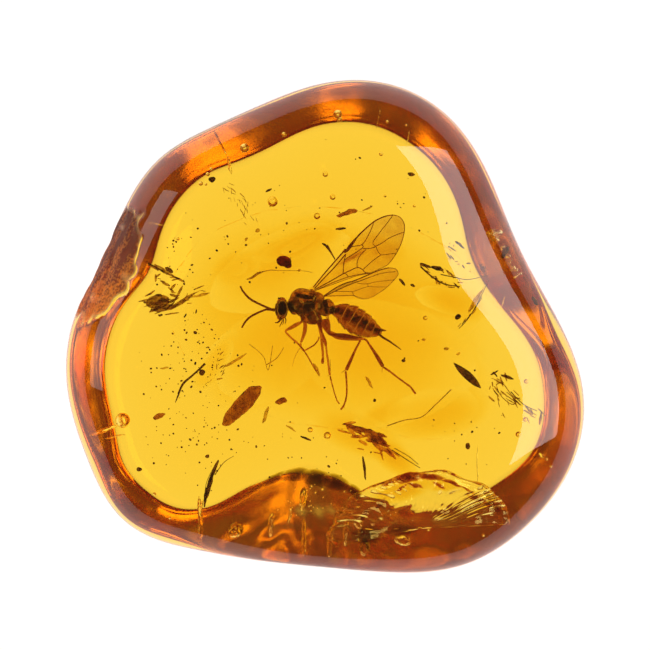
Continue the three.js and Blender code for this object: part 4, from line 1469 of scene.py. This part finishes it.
# Each bubble: across, up, height and radius.
BUBBLES = (
    (-3.06, 7.14, 6.4, 0.31), (0.03, 8.76, 6.6, 0.17), (0.44, 7.43, 6.4, 0.18), (-4.69, 10.29, 6.9, 0.27),
    (-11.75, -5.55, 6.6, 0.45), (5.81, 0.41, 6.8, 0.14), (-0.84, -6.09, 6.4, 0.16),
    (0.15, -6.42, 6.4, 0.22), (11.23, -6.33, 6.6, 0.17), (11.63, -5.48, 6.6, 0.14),
    (11.69, -3.31, 6.6, 0.14), (-0.49, 6.32, 5.0, 0.2), (3.25, 9.94, 6.8, 0.12), (3.5, 7.5, 6.6, 0.09),
    (5.2, 6.9, 6.6, 0.09), (-8.5, 5.0, 6.6, 0.1), (-2.4, 11.1, 6.8, 0.14), (0.75, 12.25, 6.8, 0.26),
    (0.85, 11.95, 6.8, 0.16), (9.6, 5.3, 6.9, 0.2), (9.85, 5.1, 6.9, 0.22), (9.75, 5.45, 6.9, 0.16),
    (10.1, 5.3, 6.9, 0.18), (10.0, 4.9, 6.9, 0.14), (10.9, 3.3, 6.8, 0.18), (11.1, 3.2, 6.8, 0.13),
    (10.7, 3.6, 6.8, 0.1), (-6.8, 8.75, 7.1, 0.12), (-6.6, 9.05, 7.1, 0.1), (-7.2, 8.2, 7.1, 0.13),
    (-6.9, 8.15, 7.0, 0.08), (3.6, 11.8, 7.0, 0.09), (4.7, 11.6, 7.0, 0.07), (9.2, -12.2, 6.0, 0.1),
    (6.0, -11.9, 6.2, 0.09), (-9.9, -9.8, 6.8, 0.1), (-9.0, -11.2, 6.6, 0.08), (13.1, -8.2, 6.6, 0.1),
)
# A froth of small ones hangs in the hump over the lower edge.
HUMP_ACROSS = (-2.8, 1.6)
HUMP_UP = (-11.2, -8.6)
HUMP_HEIGHT = 7.4
HUMP_BUBBLES = 34
chance = np.random.default_rng(8)
hump_bubbles = [(chance.uniform(*HUMP_ACROSS), chance.uniform(*HUMP_UP), HUMP_HEIGHT,
                 0.04 + 0.09 * chance.random() ** 3) for _ in range(HUMP_BUBBLES)]
bubble_rows = [(x, y, z, r, r, r, 0) for x, y, z, r in (*BUBBLES, *hump_bubbles)]
make_piece("bubbles", crumbs(bubble_rows, air_material, 4, 0))

# %% Small cracks
# Rows as for the flakes. They are thin and long, and some are tilted, so that they flash.
crack_rows = [
    (-7.25, -11.3, 6.3, 1.5, 0.13, 0.07, 93, 20), (-7.15, -10.6, 6.4, 0.5, 0.07, 0.04, 82),
    (-1.3, -10.1, 7.0, 0.8, 0.2, 0.1, 84, 30), (-1.25, -12.3, 6.4, 1.15, 0.13, 0.08, 91, 20),
    (0.26, -12.7, 6.0, 0.8, 0.18, 0.1, 88, 20), (-5.15, -11.9, 6.2, 0.6, 0.4, 0.12, 40, 30),
    (2.3, -12.9, 6.0, 0.6, 0.3, 0.12, 80, 30), (4.55, -12.5, 6.4, 0.6, 0.3, 0.1, -10, 30),
    (-6.1, 10.6, 7.2, 0.8, 0.07, 0.05, -62), (-5.55, 9.3, 7.4, 0.55, 0.1, 0.05, -80),
    (12.65, -7.6, 6.4, 0.34, 0.14, 0.08, -38), (8.87, -8.1, 6.6, 1.1, 0.025, 0.02, 90),
    (3.15, 12.2, 7.0, 0.85, 0.03, 0.02, 77), (4.8, 10.9, 7.0, 0.4, 0.03, 0.02, 78),
    (-12.9, -6.15, 6.2, 0.85, 0.13, 0.1, 20), (-12.2, -6.5, 6.2, 0.6, 0.05, 0.05, 12),
    (10.4, 1.4, 7.2, 0.35, 0.04, 0.03, 70), (-3.1, -11.6, 6.6, 0.7, 0.2, 0.12, 85),
    (1.2, -12.0, 6.4, 0.8, 0.18, 0.1, 88), (2.0, -11.9, 6.4, 0.7, 0.14, 0.1, 86),
    (-9.9, 5.9, 7.2, 0.5, 0.04, 0.03, -8), (-2.0, -11.0, 6.6, 0.5, 0.1, 0.06, 75),
    (10.0, 5.3, 7.0, 0.4, 0.22, 0.12, 10, 40), (10.7, 3.9, 7.0, 0.32, 0.14, 0.08, -40, 35),
    (11.2, 2.9, 6.9, 0.36, 0.12, 0.08, 30, 35), (10.3, 4.5, 6.9, 0.2, 0.12, 0.08, 80, 30),
]
make_piece("small_cracks", crumbs(crack_rows, air_material, 4, 0.22, 0.4, 7))

# %% [markdown]
# ### The shell-shaped crack
# Near the lower edge a large crack spreads through the stone like the inside of a mussel
# shell: round rings about the point where the blow fell, and fine rays that run out to its
# rim. It is a thin bowl of air. Rings and rays follow a rule, so the bowl is a polar grid
# whose height is worked out from the distance and the direction.

# %% Shell crack
SHELL_MIDDLE = (5.5, -11.85)
SHELL_HALF_WIDTH = 5.2
SHELL_REACH = 3.3
SHELL_TILT = 8
SHELL_LOW = 6.9
SHELL_RISE = 0.9
SHELL_GAP = 0.04
SHELL_RINGS = 70
SHELL_RAYS = 260
SHELL_OPENING = (-8, 186)  # degrees
SHELL_RAGGED = 0.03
RING_WAVE = 0.055
RING_COUNT = 26
RAY_WAVE = 0.042
RAY_COUNT = 46
SHELL_GRIT = 0.06
SHELL_LIP = 0.3
LIP_START = 0.93


def shell_crack():
    """Two sheets a hair apart, as a bowl with rings and rays."""
    share = np.linspace(0.02, 1, SHELL_RINGS)[None, :]
    ray = np.linspace(*np.radians(SHELL_OPENING), SHELL_RAYS)[:, None]
    flat = np.stack([np.cos(ray) * share, np.sin(ray) * share, 0 * ray * share], -1)

    def uneven(scale, wavelength, seed):
        return ripple(flat.reshape(-1, 3) * scale, wavelength, seed).reshape(SHELL_RAYS, -1)

    ragged = 1 + SHELL_RAGGED * uneven(3, 1.2, 31) * share ** 3
    wide = SHELL_HALF_WIDTH * np.cos(ray) * share * ragged
    far = SHELL_REACH * np.sin(ray) * share * ragged
    tilt = math.radians(SHELL_TILT)
    x = SHELL_MIDDLE[0] + wide * math.cos(tilt) - far * math.sin(tilt)
    y = SHELL_MIDDLE[1] + wide * math.sin(tilt) + far * math.cos(tilt)
    rings = RING_WAVE * np.sin(share * RING_COUNT + uneven(2, 1.0, 32)) * share
    rays = RAY_WAVE * np.sin(ray * RAY_COUNT + 4 * uneven(1.5, 1.0, 33)) * share ** 2
    lip = SHELL_LIP * np.clip((share - LIP_START) / (1 - LIP_START), 0, 1) ** 1.5
    bowl = SHELL_RISE * np.clip(np.sin(ray) * share, 0, 1) ** 1.4
    height = SHELL_LOW + bowl + rings + rays + SHELL_GRIT * uneven(4, 1.0, 34) - lip
    to_edge = np.clip(np.minimum(ray - ray.min(), ray.max() - ray) * 3, 0, 1)
    gap = SHELL_GAP * np.sqrt(np.clip(1 - share ** 4, 0.002, 1)) * np.sin(to_edge * math.pi / 2) + 0.003
    upper = np.dstack([x, y, height + gap])
    lower = np.dstack([x, y, height - gap])
    # The strip along the rim, 0.01 mm wide, faces inwards, which sets how the outline is shaded.
    return mesh_from(*closed_sheet(upper, lower, sides_inward=True))


make_piece("shell_crack", shell_crack(), air_material)

# %% [markdown]
# ## Floor and light
# The stone lies on an evenly lit pale sheet, as on a light table: the light comes up through
# the flat face and the amber glows. The sheet is dimmer further out, so what reaches the eye
# through the steep rim comes from a darker place and the rim turns brown. Two large soft
# boxes stand to the right and left and lay the pale bands on the polished shoulder.

# %% Floor, soft boxes and room
SHEET_LIGHT = 1.17
SHEET_FAR_LIGHT = 1.0
SHEET_BRIGHT_RADIUS = 60
SHEET_COLOUR = "#fff3ef"
ROOM_LIGHT = 0.26
ROOM_COLOUR = "#ffd094"

# An even white glow, a little dimmer far out, that lights the stone from below.
floor_material, tree, output = new_material("Light table")
coordinates = add_node(tree, "ShaderNodeTexCoord")
distance = add_node(tree, "ShaderNodeVectorMath", {"operation": "LENGTH"},
                    links={0: coordinates.outputs["Object"]})
falloff = add_node(tree, "ShaderNodeMapRange", {"interpolation_type": "SMOOTHSTEP"}, {
    "From Min": SHEET_BRIGHT_RADIUS * MM, "From Max": 2.5 * SHEET_BRIGHT_RADIUS * MM,
    "To Min": SHEET_LIGHT, "To Max": SHEET_FAR_LIGHT}, {"Value": distance.outputs["Value"]})
glow = add_node(tree, "ShaderNodeEmission", values={"Color": linear(SHEET_COLOUR)},
                links={"Strength": falloff.outputs[0]})
tree.links.new(glow.outputs[0], output.inputs["Surface"])

SHEET_HALF = 2000
corners = [(x * SHEET_HALF * MM, y * SHEET_HALF * MM, -0.05 * MM) for x,
           y in ((-1, -1), (1, -1), (1, 1), (-1, 1))]
floor_mesh = mesh_from(corners, [(0, 1, 2, 3)])
floor_mesh.materials.append(floor_material)
floor = bpy.data.objects.new("floor", floor_mesh)
bpy.context.collection.objects.link(floor)

world = bpy.data.worlds.new("room")
world.use_nodes = True
world.node_tree.nodes["Background"].inputs["Color"].default_value = linear(ROOM_COLOUR)
world.node_tree.nodes["Background"].inputs["Strength"].default_value = ROOM_LIGHT
bpy.context.scene.world = world


def soft_box(name, azimuth, lowest, highest, width, brightness, distance=0.4):
    """A rectangular light that faces the stone, placed by the angles it covers in degrees."""
    middle = math.radians((lowest + highest) / 2)
    turn = math.radians(azimuth)
    place = Vector((math.cos(turn) * math.cos(middle), math.sin(turn) * math.cos(middle), math.sin(middle)))
    light = bpy.data.lights.new(name, "AREA")
    light.shape = "RECTANGLE"
    light.size = 2 * distance * math.tan(math.radians(width / 2))
    light.size_y = 2 * distance * math.tan(math.radians((highest - lowest) / 2))
    light.energy = brightness * light.size * light.size_y * math.pi
    lamp = bpy.data.objects.new(name, light)
    lamp.location = place * distance
    lamp.rotation_mode = "QUATERNION"
    lamp.rotation_quaternion = (-place).to_track_quat("-Z", "Y")
    bpy.context.collection.objects.link(lamp)


soft_box("soft_box_right", azimuth=11, lowest=13, highest=63, width=62, brightness=3.6)
soft_box("soft_box_left", azimuth=165, lowest=12, highest=32, width=46, brightness=1.8)

scene = bpy.context.scene
scene.view_settings.view_transform = "Standard"
BOUNCES = 24
scene.cycles.max_bounces = BOUNCES
scene.cycles.transmission_bounces = BOUNCES
scene.cycles.glossy_bounces = BOUNCES
